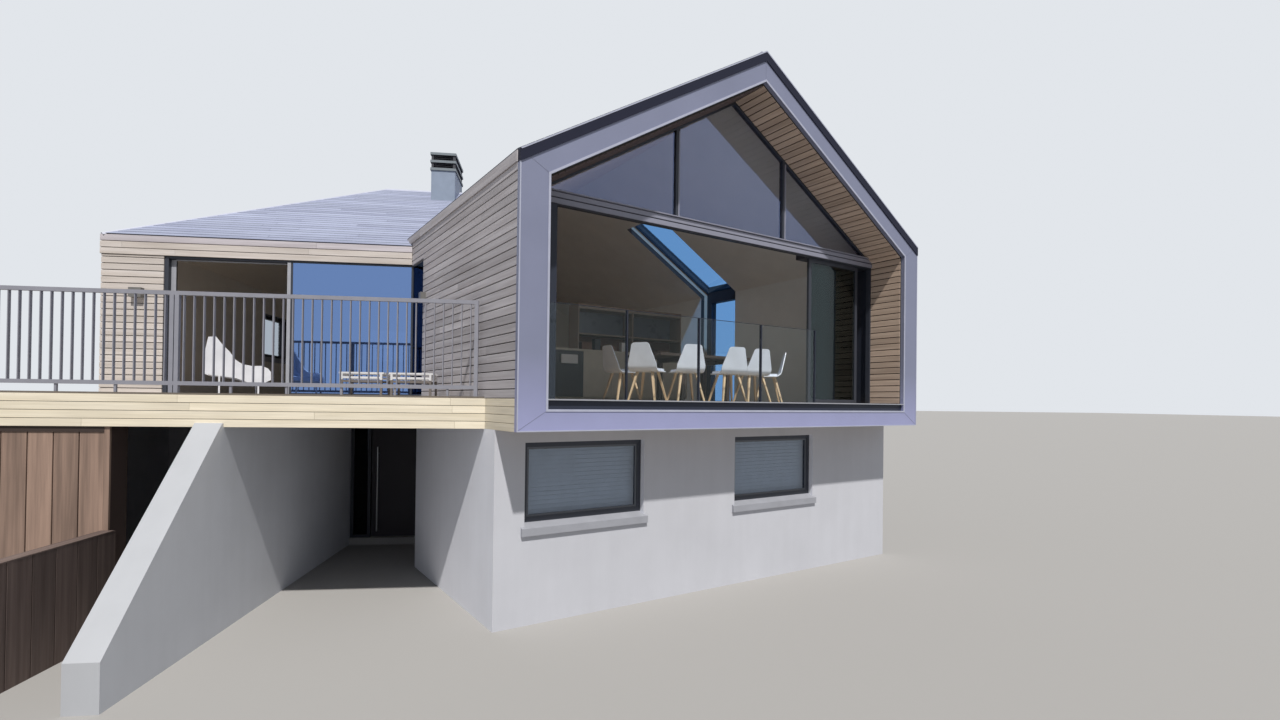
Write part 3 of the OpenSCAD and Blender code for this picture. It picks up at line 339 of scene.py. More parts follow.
class Graph:
    """A material's node graph, with short calls for the nodes used here."""

    def __init__(self, name):
        self.material = bpy.data.materials.new(name)
        self.material.use_nodes = True
        self.tree = self.material.node_tree
        self.shader = self.tree.nodes["Principled BSDF"]
        self.output = self.tree.nodes["Material Output"]

    def put(self, value, socket):
        if isinstance(value, bpy.types.NodeSocket):
            self.tree.links.new(value, socket)
        elif hasattr(socket.default_value, "__len__") and len(socket.default_value) == 4:
            socket.default_value = (*value, 1) if len(value) == 3 else value
        else:
            socket.default_value = value

    def set(self, **values):
        for name, value in values.items():
            self.put(value, self.shader.inputs[name.replace("_", " ")])

    def node(self, kind, inputs=(), **settings):
        made = self.tree.nodes.new(kind)
        for name, value in settings.items():
            setattr(made, name, value)
        for key, value in dict(inputs).items():
            self.put(value, made.inputs[key])
        return made

    def surface(self, output):
        return self.node("ShaderNodeNewGeometry").outputs[output]

    def place(self):
        return self.surface("Position")

    def height(self):
        return self.node("ShaderNodeSeparateXYZ", {0: self.place()}).outputs[2]

    def facing(self, direction, vector=None):
        """How far the surface's normal, or another vector, reaches along a direction."""
        vector = self.surface("Normal") if vector is None else vector
        inputs = {0: vector, 1: tuple(direction)}
        return self.node("ShaderNodeVectorMath", inputs, operation="DOT_PRODUCT").outputs["Value"]

    def attribute(self, name, output):
        return self.node("ShaderNodeAttribute", attribute_name=name).outputs[output]

    def math(self, kind, a, b=0.0):
        return self.node("ShaderNodeMath", {0: a, 1: b}, operation=kind).outputs[0]

    def stretch(self, vector, scale):
        return self.node("ShaderNodeMapping", {"Vector": vector, "Scale": scale}).outputs[0]

    def noise(self, vector, scale, detail=4.0, rough=0.55):
        inputs = {"Vector": vector, "Scale": scale, "Detail": detail, "Roughness": rough}
        return self.node("ShaderNodeTexNoise", inputs).outputs["Fac"]

    def ramp(self, value, low, high, out_low=0.0, out_high=1.0):
        inputs = {"Value": value, "From Min": low, "From Max": high, "To Min": out_low, "To Max": out_high}
        return self.node("ShaderNodeMapRange", inputs).outputs[0]

    def mix(self, factor, a, b, blend="MIX"):
        made = self.node("ShaderNodeMix", data_type="RGBA", blend_type=blend)
        self.put(factor, made.inputs[0])
        self.put(a, made.inputs[6])
        self.put(b, made.inputs[7])
        return made.outputs[2]

    def scale(self, colour, amount):
        """Multiplies a colour by a number socket."""
        grey = self.node("ShaderNodeCombineColor", {0: amount, 1: amount, 2: amount}).outputs[0]
        return self.mix(1.0, colour, grey, "MULTIPLY")

    def bump(self, height, distance, strength=1.0):
        inputs = {"Height": height, "Distance": distance, "Strength": strength}
        self.put(self.node("ShaderNodeBump", inputs).outputs[0], self.shader.inputs["Normal"])


def board_wood(name, pale, dark, spread=0.16, rough=0.72, edge=1.0):
    """Weathered boards: fine grain along each board, soft patches, and a tone for each board. Faces that
    don't look up, the sides of roof boards, are painted darker by the factor edge, as painted shade in the
    joints."""
    g = Graph(name)
    grain = g.attribute("grain", "Vector")
    tone = g.attribute("tone", "Fac")
    fine = g.noise(g.stretch(grain, (2.2, 55, 55)), 1.0, 5)
    streak = g.noise(g.stretch(grain, (0.7, 16, 16)), 1.0, 3)
    patch = g.noise(g.stretch(grain, (0.5, 2.0, 2.0)), 1.6, 2)
    colour = g.mix(g.ramp(streak, 0.32, 0.68), dark, pale)
    colour = g.scale(colour, g.ramp(fine, 0.25, 0.75, 0.90, 1.06))
    colour = g.scale(colour, g.ramp(patch, 0.3, 0.7, 0.93, 1.05))
    colour = g.scale(colour, g.ramp(tone, 0, 1, 1 - spread, 1 + spread * 0.5))
    # painted shade: faces that don't look up are darkened, for the shade in the joints
    if edge < 1:
        colour = g.scale(colour, g.ramp(g.facing(Z), 0.2, 0.6, edge, 1.0))
    g.set(Base_Color=colour, Roughness=g.ramp(fine, 0.3, 0.7, rough - 0.08, rough + 0.12))
    g.bump(fine, 0.0012)
    return g.material


def wall_core(name, outward, inside=(0.74, 0.70, 0.64)):
    """Dark membrane behind the boards, painted plaster inside, dark trim on the edges of openings."""
    g = Graph(name)
    out = g.facing(outward)
    grime = g.noise(g.place(), 3.0, 4)
    plaster = g.scale(inside, g.ramp(grime, 0.3, 0.7, 0.96, 1.03))
    colour = g.mix(g.math("GREATER_THAN", out, 0.5), (0.045, 0.042, 0.042), (0.016, 0.015, 0.015))
    colour = g.mix(g.math("LESS_THAN", out, -0.5), colour, plaster)
    g.set(Base_Color=colour, Roughness=0.85)
    g.bump(g.noise(g.place(), 160, 3), 0.0006)
    return g.material


def roof_core(name, inside=(0.74, 0.69, 0.62)):
    """Dark membrane under the roof boards, painted ceiling below, dark folded edge on the sides."""
    g = Graph(name)
    up = g.facing(Z)
    cloud = g.noise(g.place(), 2.2, 4)
    ceiling = g.scale(inside, g.ramp(cloud, 0.3, 0.7, 0.96, 1.03))
    edge = g.scale((0.085, 0.068, 0.062), g.ramp(cloud, 0.3, 0.7, 0.88, 1.08))
    colour = g.mix(g.math("GREATER_THAN", up, 0.3), edge, (0.03, 0.03, 0.032))
    colour = g.mix(g.math("LESS_THAN", up, -0.3), colour, ceiling)
    g.set(Base_Color=colour, Roughness=0.8)
    return g.material


def render_coat(name, colour, streaks=0.03, painted_shading_toward=-Y, factor=1.0):
    """Smooth render: fine sand grain, faint clouds and faint runs down the wall. Faces that look toward
    one direction are painted lighter or darker by factor, as painted light above 1 and painted shade below
    1."""
    g = Graph(name)
    place = g.place()
    cloud = g.noise(place, 0.9, 5)
    runs = g.noise(g.stretch(place, (5, 5, 0.5)), 1.0, 4)
    tint = g.scale(colour, g.ramp(cloud, 0.3, 0.7, 0.95, 1.04))
    tint = g.scale(tint, g.ramp(runs, 0.3, 0.75, 1.0 + streaks * 0.4, 1.0 - streaks))
    # painted light and shade: faces toward the given direction are scaled by factor
    tint = g.scale(tint, g.ramp(g.facing(painted_shading_toward), 0.3, 0.6, 1.0, factor))
    g.set(Base_Color=tint, Roughness=0.9)
    g.bump(g.noise(place, 260, 3), 0.0012)
    return g.material


def painted(name, colour, rough=0.45, metallic=0.0, mottle=0.06, scale=6.0, above=None, below=None,
            fade=0.001, gloss=0.5):
    """Satin coated metal or paint with a faint mottle. Below the height above, it has the colour below."""
    g = Graph(name)
    cloud = g.noise(g.place(), scale, 5)
    tint = colour
    if above is not None:
        tint = g.mix(g.ramp(g.height(), above - fade, above + fade), below, colour)
    tint = g.scale(tint, g.ramp(cloud, 0.3, 0.7, 1 - mottle, 1 + mottle))
    g.set(Base_Color=tint, Metallic=metallic, Specular_IOR_Level=gloss,
          Roughness=g.ramp(cloud, 0.3, 0.7, rough - 0.06, rough + 0.08))
    g.bump(g.noise(g.place(), 420, 2), 0.0002)
    return g.material


def cowl_metal(name):
    """Pale plates with dark louvres between them."""
    g = Graph(name)
    level = g.math("SUBTRACT", g.height(), FLOOR + CHIMNEY_H)
    tier = g.math("FRACT", g.math("DIVIDE", level, COWL_STEP))
    louvre = g.math("GREATER_THAN", tier, COWL_PLATE / COWL_STEP)
    cloud = g.noise(g.place(), 7.0, 4)
    colour = g.mix(louvre, (0.19, 0.22, 0.24), (0.035, 0.036, 0.045))
    g.set(Base_Color=g.scale(colour, g.ramp(cloud, 0.3, 0.7, 0.93, 1.06)), Roughness=0.5)
    return g.material


def pane(name, tint, reflect, share, dull=None):
    """Thin glass: what is behind shows through, under a mirror image that grows at low angles. Faces that
    look along dull mirror next to nothing."""
    g = Graph(name)
    g.tree.nodes.remove(g.shader)
    clear = g.node("ShaderNodeBsdfTransparent", {"Color": tint}).outputs[0]
    shine = g.node("ShaderNodeBsdfGlossy", {"Color": reflect, "Roughness": 0.015}).outputs[0]
    fresnel = g.node("ShaderNodeFresnel", {"IOR": 1.5}).outputs[0]
    front = g.math("SUBTRACT", 1.0, g.surface("Backfacing"))
    amount = g.math("MINIMUM", g.math("ADD", g.math("MULTIPLY", fresnel, 1.3), share), 1.0)
    amount = g.math("MULTIPLY", amount, front)
    if dull is not None:
        amount = g.math("MULTIPLY", amount, g.ramp(g.facing(dull), 0.85, 0.95, 1.0, 0.12))
    mixed = g.node("ShaderNodeMixShader", {0: amount, 1: clear, 2: shine}).outputs[0]
    g.tree.links.new(mixed, g.output.inputs["Surface"])
    return g.material


def floor_boards(name, pale, dark, direction, width=0.18):
    """Floor planks drawn across a CAD floor: planks run along direction."""
    g = Graph(name)
    along = g.facing(direction, g.place())
    across = g.facing(Z.cross(direction), g.place())
    rows = g.math("DIVIDE", across, width)
    row = g.math("FLOOR", rows)
    apart = g.math("MULTIPLY", row, 7.31)
    seat = g.node("ShaderNodeCombineXYZ", {0: along, 1: apart, 2: across}).outputs[0]
    fine = g.noise(g.stretch(seat, (3, 1, 60)), 1.0, 4)
    tone = g.node("ShaderNodeTexWhiteNoise", {"W": row}, noise_dimensions="1D").outputs["Value"]
    colour = g.mix(g.ramp(fine, 0.3, 0.7), dark, pale)
    colour = g.scale(colour, g.ramp(tone, 0, 1, 0.86, 1.08))
    seam = g.math("LESS_THAN", g.math("FRACT", rows), 0.02)
    colour = g.mix(seam, colour, tuple(c * 0.3 for c in dark))
    g.set(Base_Color=colour, Roughness=0.5)
    return g.material


def dress(names, material):
    """Gives CAD nodes a material in place of their plain one."""
    for name in names:
        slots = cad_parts[name].data.materials
        if len(slots) == 0:
            slots.append(material)
        for i in range(len(slots)):
            slots[i] = material


# Camera, fitted to the photograph: where it stands, where it looks and how it leans
CAMERA_PLACE = at_wing(0.4341, -6.8110, -0.0289)
CAMERA_YAW = math.radians(7.3608)
CAMERA_PITCH = math.radians(0.49985)
CAMERA_ROLL = -0.0120475
CAMERA_SENSOR = 36
CAMERA_LENS = 17.725
CAMERA_SHIFT = 0.02895
CAMERA_CLIP = (0.1, 1000)


def add_camera():
    data = bpy.data.cameras.new("camera")
    data.sensor_width = CAMERA_SENSOR
    data.lens = CAMERA_LENS
    data.shift_y = CAMERA_SHIFT
    data.clip_start, data.clip_end = CAMERA_CLIP
    camera = put_in_scene("camera", data)
    yaw = Matrix.Rotation(-CAMERA_YAW, 4, "Z")
    pitch = Matrix.Rotation(math.pi / 2 + CAMERA_PITCH, 4, "X")
    roll = Matrix.Rotation(-CAMERA_ROLL, 4, "Z")
    camera.matrix_world = Matrix.Translation(CAMERA_PLACE) @ yaw @ pitch @ roll
    bpy.context.scene.camera = camera


# Light: a high sun in front, a soft sky, and a weak lamp in the upper room
SUN_FROM = Vector((0.06, -0.56, 0.82))
SUN_POWER = 3.78
SUN_SIZE = math.radians(1.5)
SUN_COLOUR = (1.0, 0.97, 0.92)
SKY_COLOUR = (0.80, 0.88, 1.0)
SKY_POWER = 0.295
ROOM_PLACE = at_gable(GABLE_W / 2, 5.2, 2.9)
ROOM_SIZE = (3.0, 5.0)
ROOM_POWER = 17.0
ROOM_COLOUR = (1.0, 0.93, 0.86)
BACKDROP = (0.76, 0.79, 0.83)
STAGE_COLOUR = (0.38, 0.37, 0.36)
STAGE_REACH = 300.0


def add_sun():
    sun = bpy.data.lights.new("key", "SUN")
    sun.energy, sun.angle, sun.color = SUN_POWER, SUN_SIZE, SUN_COLOUR
    lamp = put_in_scene("key", sun)
    lamp.rotation_mode = "QUATERNION"
    lamp.rotation_quaternion = SUN_FROM.to_track_quat("Z", "Y")


def add_room_lamp():
    soft = bpy.data.lights.new("room", "AREA")
    soft.shape = "RECTANGLE"
    soft.size, soft.size_y = ROOM_SIZE
    soft.energy, soft.color = ROOM_POWER, ROOM_COLOUR
    fill = put_in_scene("room", soft)
    fill.location = ROOM_PLACE
    fill.rotation_euler = (0, 0, GABLE_TURN)
    fill.visible_camera = fill.visible_glossy = fill.visible_transmission = False


def add_sky():
    """A soft sky lights the house, while the camera, mirror images and glass see a plain backdrop."""
    world = bpy.data.worlds.new("sky")
    bpy.context.scene.world = world
    world.use_nodes = True
    tree = world.node_tree
    sky = tree.nodes["Background"]
    sky.inputs["Color"].default_value = (*SKY_COLOUR, 1)
    sky.inputs["Strength"].default_value = SKY_POWER
    seen = tree.nodes.new("ShaderNodeBackground")
    seen.inputs["Color"].default_value = (*BACKDROP, 1)
    seen.inputs["Strength"].default_value = 1.0
    path = tree.nodes.new("ShaderNodeLightPath")
    rays = path.outputs["Is Camera Ray"]
    for kind in ("Is Glossy Ray", "Is Transmission Ray"):
        either = tree.nodes.new("ShaderNodeMath")
        either.operation = "MAXIMUM"
        tree.links.new(rays, either.inputs[0])
        tree.links.new(path.outputs[kind], either.inputs[1])
        rays = either.outputs[0]
    mixed = tree.nodes.new("ShaderNodeMixShader")
    tree.links.new(rays, mixed.inputs[0])
    tree.links.new(sky.outputs[0], mixed.inputs[1])
    tree.links.new(seen.outputs[0], mixed.inputs[2])
    tree.links.new(mixed.outputs[0], tree.nodes["World Output"].inputs["Surface"])


def add_stage():
    """The level floor that the house stands on."""
    mesh = bpy.data.meshes.new("floor_stage")
    r = STAGE_REACH
    mesh.from_pydata([(-r, -r, 0), (r, -r, 0), (r, r, 0), (-r, r, 0)], [], [(0, 1, 2, 3)])
    g = Graph("stage")
    g.set(Base_Color=STAGE_COLOUR, Roughness=0.95)
    mesh.materials.append(g.material)
    floor = put_in_scene("floor_stage", mesh)


# Outlines of the clad faces
def rectangle(a, b, low, high):
    return [(a, low), (b, low), (b, high), (a, high)]


def window_hole(a):
    return rectangle(a, a + WINDOW_W, UPPER_SILL - SILL_H, UPPER_SILL + WINDOW_H)


def side_outline():
    """Terrace side of the gable wing above the deck line, cut round the corner pane."""
    corner = CORNER_S - CORNER_W
    return [[
        (CASING_D, 0), (corner, 0), (corner, DOOR_H), (CORNER_S, DOOR_H), (CORNER_S, EAVE_LOW),
        (CASING_D, EAVE_LOW),
    ]]


def right_outline():
    """Right side of the gable wing, cut round the glazed slot."""
    return [[
        (CASING_D, -FLOOR_T), (GABLE_LEN, -FLOOR_T), (GABLE_LEN, EAVE_LOW), (SLOT_FAR, EAVE_LOW),
        (SLOT_FAR, 0), (SLOT_S, 0), (SLOT_S, EAVE_LOW), (CASING_D, EAVE_LOW),
    ]]


def rear_outline():
    """Back of the gable wing up to the underside of its roof, with two windows."""
    left, right = BOARD_T, GABLE_W - BOARD_T
    drop = SHELL_T / SLOPE_COS
    side = min(GABLE_EAVE - drop + SLOPE * BOARD_T, EAVE_LOW)
    peak = (GABLE_W / 2, GABLE_RIDGE - drop)
    wall = [(left, -FLOOR_T), (right, -FLOOR_T), (right, side), peak, (left, side)]
    return [wall] + [window_hole(a) for a in BACK_WINDOWS]


def lay_lip(pieces, t, n, a, b):
    """Lays the wide board along an eave of the gable wing, from a to b."""
    lay_boards(pieces, at_gable(t, 0, 0), S, Z, n, [rectangle(a, b, EAVE_LOW, GABLE_EAVE)],
               pitch=EAVE_LIP, gap=FINE_GAP, thick=EAVE_BOARD)


def clad(name, seed, wood, origin, u, n, loops, lips=(), lengths=LENGTHS):
    """One wall's boards, with its wide boards at the eave as (t, a, b)."""
    boards = Pieces(name, seed)
    lay_boards(boards, origin, u, Z, n, loops, lengths=lengths)
    for t, a, b in lips:
        lay_lip(boards, t, n, a, b)
    boards.build([wood])


def clad_gable(grey):
    """Boards on the closed sides of the gable wing."""
    clad("side_boards", 11, grey, at_gable(BOARD_T, 0, 0), S, -T, side_outline(),
         lips=[(0, CASING_D, CORNER_S + EAVE_PAST)])
    clad("right_boards", 12, grey, at_gable(GABLE_W - BOARD_T, 0, 0), S, T, right_outline(),
         lips=[(GABLE_W, CASING_D, SLOT_S), (GABLE_W, SLOT_FAR, GABLE_LEN)])
    clad("rear_boards", 13, grey, at_gable(0, GABLE_LEN - BOARD_T, 0), T, S, rear_outline())


def clad_wing(grey, cream):
    """Boards on the hipped wing's walls, up to the boards of its eave."""
    clad("wing_front_boards", 14, cream, at_wing(0, WING_Y + BOARD_T, 0), X, -Y,
         [rectangle(-WING_LEN, -WING_LEN + PIER_W, 0, DOOR_H)], lengths=LONG)
    clad("wing_end_boards", 15, grey, at_wing(-WING_LEN + BOARD_T, 0, 0), Y, -X,
         [rectangle(WING_Y + BOARD_T, WING_BACK - BOARD_T, -FLOOR_T, DOOR_H), window_hole(END_WINDOW_Y)])
    clad("wing_rear_boards", 16, grey, at_wing(0, WING_BACK - BOARD_T, 0), X, Y,
         [rectangle(-WING_LEN, -WING_BACK * TAN, -FLOOR_T, DOOR_H)])


def clad_wing_eave(cream, grey_lilac):
    """Thin boards round the hipped wing's eave. The top row is painted grey, as painted shade under the
    roof's edge.
    """
    pitch = (WING_EAVE - DOOR_H) / EAVE_ROWS
    for name, seed, wood, low, rows in (
        ("eave_low_boards", 19, cream, DOOR_H, EAVE_ROWS - 1),
        ("eave_top_boards", 18, grey_lilac, WING_EAVE - pitch, 1),
    ):
        eave = Pieces(name, seed)
        for origin, u, n, a, b in (
            (at_wing(0, WING_Y, 0), X, -Y, -WING_LEN - EAVE_BOARD, -WING_Y * TAN - CLEAR),
            (at_wing(-WING_LEN, 0, 0), Y, -X, WING_Y, WING_BACK),
            (at_wing(0, WING_BACK, 0), X, Y, -WING_LEN - EAVE_BOARD, -WING_BACK * TAN - CLEAR),
        ):
            lay_boards(eave, origin, u, Z, n, [rectangle(a, b, low, low + rows * pitch)],
                       pitch=pitch, gap=EAVE_GAP, thick=EAVE_BOARD)
        eave.build([wood])


def clad_walls():
    grey = board_wood("cladding_grey", (0.57, 0.545, 0.57), (0.43, 0.40, 0.415))
    cream = board_wood("cladding_cream", (0.675, 0.62, 0.59), (0.565, 0.505, 0.46), spread=0.10)
    # painted shade: grey for the top eave row, in the shade under the roof's edge
    grey_lilac = board_wood("eave_shaded_grey", (0.60, 0.56, 0.60), (0.49, 0.45, 0.48), spread=0.08)
    clad_gable(grey)
    clad_wing(grey, cream)
    clad_wing_eave(cream, grey_lilac)


def clad_fascia():
    """Pale boards round the terrace's edge."""
    cream = board_wood("fascia_cream", (0.84, 0.765, 0.625), (0.76, 0.68, 0.53), spread=0.06)
    depth = FLOOR_T + FASCIA_DROP
    left = LEFT_END + BOARD_T
    band = Pieces("fascia_boards", 21)
    for origin, u, n, a, b in (
        (at_wing(0, TERRACE_Y + BOARD_T, 0), X, -Y, LEFT_END, -TERRACE_Y * TAN),
        (at_wing(left, 0, 0), Y, -X, TERRACE_Y + BOARD_T, WING_Y),
        (at_wing(0, WING_Y - BOARD_T, 0), X, Y, left, -WING_LEN),
        (at_gable(BOARD_T, 0, 0), S, -T, CASING_D, TERRACE_Y / COS),
    ):
        lay_boards(band, origin, u, Z, n, [rectangle(a, b, -depth, 0)],
                   pitch=depth / FASCIA_ROWS, gap=FINE_GAP, chamfer=FINE_CHAMFER)
    band.build([cream])


def lay_deck():
    """Deck boards from the fascia to the walls of both wings."""
    front = TERRACE_Y + FASCIA_T
    back = WING_Y - BOARD_T - FASCIA_T
    left = LEFT_END + BOARD_T + FASCIA_T
    deck = Pieces("deck_boards", 22)
    lay_boards(deck, at_wing(0, 0, 0), X, Y, Z, [[
        (left, front), (-front * TAN - DECK_CLEAR, front), (-WING_Y * TAN - DECK_CLEAR, WING_Y),
        (-WING_LEN, WING_Y), (-WING_LEN, back), (left, back),
    ]], pitch=DECK_PITCH, gap=FINE_GAP, thick=DECK_BOARD)
    deck.build([board_wood("deck_wood", (0.56, 0.52, 0.47), (0.42, 0.38, 0.34))])


# Roofs
HIP_CAP_HALF = 0.05
RIDGE_CAP_HALF = 0.06
CAP_FOOT = 0.3
CAP_RISE = ROOF_BOARD + 0.004
CAP_PAST = 0.02


def valley(level):
    """Where the hipped roof, level above its eave, meets the gable wing in front and behind: (x, y, t)."""
    t = max(0.0, (level - EAVE_STEP) / SLOPE)
    run = level / WING_SLOPE
    return [((t - y * SIN) / COS, y, t) for y in (WING_Y + run, WING_BACK - run)]


# Those places at the hipped roof's eave, at the gable wing's eave and at the ridge
FOOT, TURN, MEET = valley(0), valley(EAVE_STEP), valley(WING_RIDGE - WING_EAVE)


def lay_roof(pieces, origin, u, v, n, outline):
    lay_boards(pieces, origin, u, v, n, [outline], pitch=ROOF_PITCH, gap=ROOF_GAP, thick=ROOF_BOARD)


def clad_wing_roof(grey_lilac):
    """Boards on the hipped roof's three sides, up to the gable wing."""
    length = WING_D / 2 * WING_RISE
    turn = EAVE_STEP / WING_SLOPE * WING_RISE
    up_front = Vector((0, 1, WING_SLOPE)).normalized()
    up_back = Vector((0, -1, WING_SLOPE)).normalized()
    up_hip = Vector((1, 0, WING_SLOPE)).normalized()
    roof = Pieces("wing_roof_boards", 31)
    lay_roof(roof, at_wing(0, WING_Y, WING_EAVE), X, up_front, X.cross(up_front),
             [(-WING_LEN, 0), (FOOT[0][0], 0), (TURN[0][0], turn), (MEET[0][0], length), (HIP_X, length)])
    lay_roof(roof, at_wing(0, WING_BACK, WING_EAVE), -X, up_back, (-X).cross(up_back),
             [(-FOOT[1][0], 0), (WING_LEN, 0), (-HIP_X, length), (-MEET[1][0], length),
              (-TURN[1][0], turn)])
    lay_roof(roof, at_wing(-WING_LEN, WING_MID, WING_EAVE), -Y, up_hip, (-Y).cross(up_hip),
             [(-WING_D / 2, 0), (WING_D / 2, 0), (0, length)])
    roof.build([grey_lilac])


def clad_gable_roof(grey_lilac):
    """Boards on the gable wing's slopes, cut round the hipped roof on the left and the glazed slot on the
    right."""

    def along(place):
        """Length along the gable wing and length up its left slope of a valley place."""
        x, y, t = place
        return (y - t * SIN) / COS, t / SLOPE_COS

    length = (GABLE_W / 2) / SLOPE_COS
    slot = (GABLE_W - SLOT_TOP) / SLOPE_COS
    up_left = (T + Z * SLOPE).normalized()
    up_right = (-T + Z * SLOPE).normalized()
    roof = Pieces("gable_roof_boards", 32)
    lay_roof(roof, at_gable(0, 0, GABLE_EAVE), S, up_left, -S.cross(up_left),
             [(CASING_D, 0), along(TURN[0]), along(MEET[0]), along(TURN[1]), (GABLE_LEN, 0),
              (GABLE_LEN, length), (CASING_D, length)])
    lay_roof(roof, at_gable(GABLE_W, 0, GABLE_EAVE), S, up_right, S.cross(up_right),
             [(CASING_D, 0), (SLOT_S, 0), (SLOT_S, slot), (SLOT_FAR, slot), (SLOT_FAR, 0),
              (GABLE_LEN, 0), (GABLE_LEN, length), (CASING_D, length)])
    roof.build([grey_lilac])


def cap_roofs():
    """Flat caps on the hips and ridges."""
    peak = at_wing(HIP_X, WING_MID, WING_RIDGE)
    caps = Pieces("roof_caps", 33)
    for a, b, half in (
        (at_wing(-WING_LEN, WING_Y, WING_EAVE), peak, HIP_CAP_HALF),
        (at_wing(-WING_LEN, WING_BACK, WING_EAVE), peak, HIP_CAP_HALF),
        (peak, at_wing(MEET[0][0] - CAP_PAST, WING_MID, WING_RIDGE), RIDGE_CAP_HALF),
        (at_gable(GABLE_W / 2, CASING_D, GABLE_RIDGE), at_gable(GABLE_W / 2, GABLE_LEN, GABLE_RIDGE),
         RIDGE_CAP_HALF),
    ):
        line = (b - a).normalized()
        side = line.cross(Z).normalized()
        up = side.cross(line)
        wide = side * half
        low = -up * half * CAP_FOOT
        high = up * CAP_RISE
        caps.prism([a - wide + low, a + wide + low, a + wide / 2 + high, a - wide / 2 + high], b - a)
    caps.build([painted("roof_cap", (0.50, 0.52, 0.62), 0.5)])


def clad_roofs():
    # painted shade: the roof boards' sides are painted dark, by edge=0.2
    grey_lilac = board_wood("roof_silver", (0.375, 0.410, 0.545), (0.285, 0.31, 0.44), spread=0.14, edge=0.2)
    clad_wing_roof(grey_lilac)
    clad_gable_roof(grey_lilac)
    cap_roofs()


# Planked walls
END_POST_W = 0.055
END_POST_D = 0.030
BAND_H = 0.065
BAND_D = 0.012
PLANK_SEAM = 0.002
CAP_SIDE = 0.020
CAP_T = 0.012


def clad_plank_wall():
    """Wide upright planks under the terrace, a post at their right end and a dark band over them."""
    brown = board_wood("plank_wood", (0.36, 0.245, 0.19), (0.20, 0.135, 0.105), spread=0.18)
    face = Pieces("plank_boards", 41)
    lay_boards(face, at_wing(0, PLANK_FRONT, -FLOOR), Z, X, -Y,
               [rectangle(0, UNDER, LEFT_END, -PLANK_RIGHT)], pitch=PLANK_PITCH, thick=PLANK_BOARD,
               lengths=UNBROKEN, start=-PLANK_RIGHT - PLANK_ROWS * PLANK_PITCH)
    face.block(at_wing(-PLANK_RIGHT, PLANK_FRONT - END_POST_D, RETAIN_H - FLOOR), Z, X, Y,
               (UNDER - RETAIN_H - PLANK_SEAM, END_POST_W, END_POST_D), tone=0.3)
    face.build([brown])
    head = Pieces("plank_dark_band", 42)
    head.block(at_wing(LEFT_END, PLANK_FRONT - PLANK_BOARD - BAND_D, UNDER - FLOOR - BAND_H), X, Z, Y,
               (-PLANK_RIGHT - LEFT_END, BAND_H - PLANK_SEAM, BAND_D))
    head.build([painted("plank_dark_band", (0.035, 0.022, 0.018), 0.8)])


def clad_retaining_wall():
    """Upright planks on both sides of the low wall in front, and a cap on it."""
    dark = board_wood("retaining_wood", (0.17, 0.125, 0.11), (0.10, 0.07, 0.062), spread=0.18)
    outline = rectangle(0, RETAIN_H, RETAIN_FRONT, PLANK_FRONT)
    low = Pieces("retaining_boards", 43)
    for x, n in ((-PLANK_RIGHT + RETAIN_T, X), (-PLANK_RIGHT, -X)):
        lay_boards(low, at_wing(x, 0, -FLOOR), Z, Y, n, [outline], pitch=RETAIN_PITCH, gap=RETAIN_GAP,
                   thick=RETAIN_BOARD, lengths=UNBROKEN)
    low.build([dark])
    top = Pieces("retaining_cap", 44)
    top.block(at_wing(-PLANK_RIGHT - CAP_SIDE, RETAIN_FRONT, RETAIN_H - FLOOR), Y, X, Z,
              (RETAIN_LEN - END_POST_D, RETAIN_T + 2 * CAP_SIDE, CAP_T), tone=0.9)
    top.build([dark])


# Casing: a lip round its inner edge, a narrow one round its outer edge and one under the verge
LIP_W = 0.026
LIP_D = 0.008
EDGE_W = 0.014
EDGE_D = 0.006
VERGE_W = 0.016
VERGE_D = 0.004
SEAM = 0.002


def line_casing():
    """Metal lips on the casing of the gable front, painted paler as a painted highlight on its folded edges,
    and seams across its mitred corners.
    """
    low = -FLOOR_T + RAIL_H
    edge = gable_section(EDGE_W, -FLOOR_T + EDGE_W)
    lip = gable_section(CASING_W - LIP_W, low - LIP_W)
    lips = Pieces("casing_lips", 51)
    lips.ring(lip, gable_section(CASING_W, low), TRIM_PROUD - LIP_D, TRIM_PROUD, SIDES)
    lips.ring(gable_section(0, -FLOOR_T), edge, TRIM_PROUD - EDGE_D, TRIM_PROUD,
              (BOTTOM, RIGHT_POST, LEFT_POST))
    lips.ring(gable_section(0, 0), gable_section(VERGE_W, 0), -VERGE_D, VERGE_D,
              (RIGHT_RAKE, LEFT_RAKE))
    lips.build([painted("zinc_edge", (0.42, 0.44, 0.55), 0.45, 0.1)])
    seams = Pieces("casing_seams", 52)
    for (t0, z0), (t1, z1) in zip(edge, lip):
        a, b = at_gable(t0, TRIM_PROUD - SEAM, z0), at_gable(t1, TRIM_PROUD - SEAM, z1)
        side = (b - a).cross(S).normalized() * SEAM
        seams.prism([a - side, a + side, b + side, b - side], S * SEAM)
    seams.build([painted("zinc_seam", (0.19, 0.20, 0.28), 0.5)])


# Transom and mullions. A profile has its place over the transom's lower edge, its height and its depth
PROFILES = ((0.012, 0.062, 0.018), (0.090, 0.058, 0.018), (TRANSOM_T - 0.012, 0.014, 0.040))
PROFILE_CLEAR = 0.012
BAR_IN = 0.006
BAR_W = 0.022
BAR_D = 0.008
BAR_CLEAR = 0.030


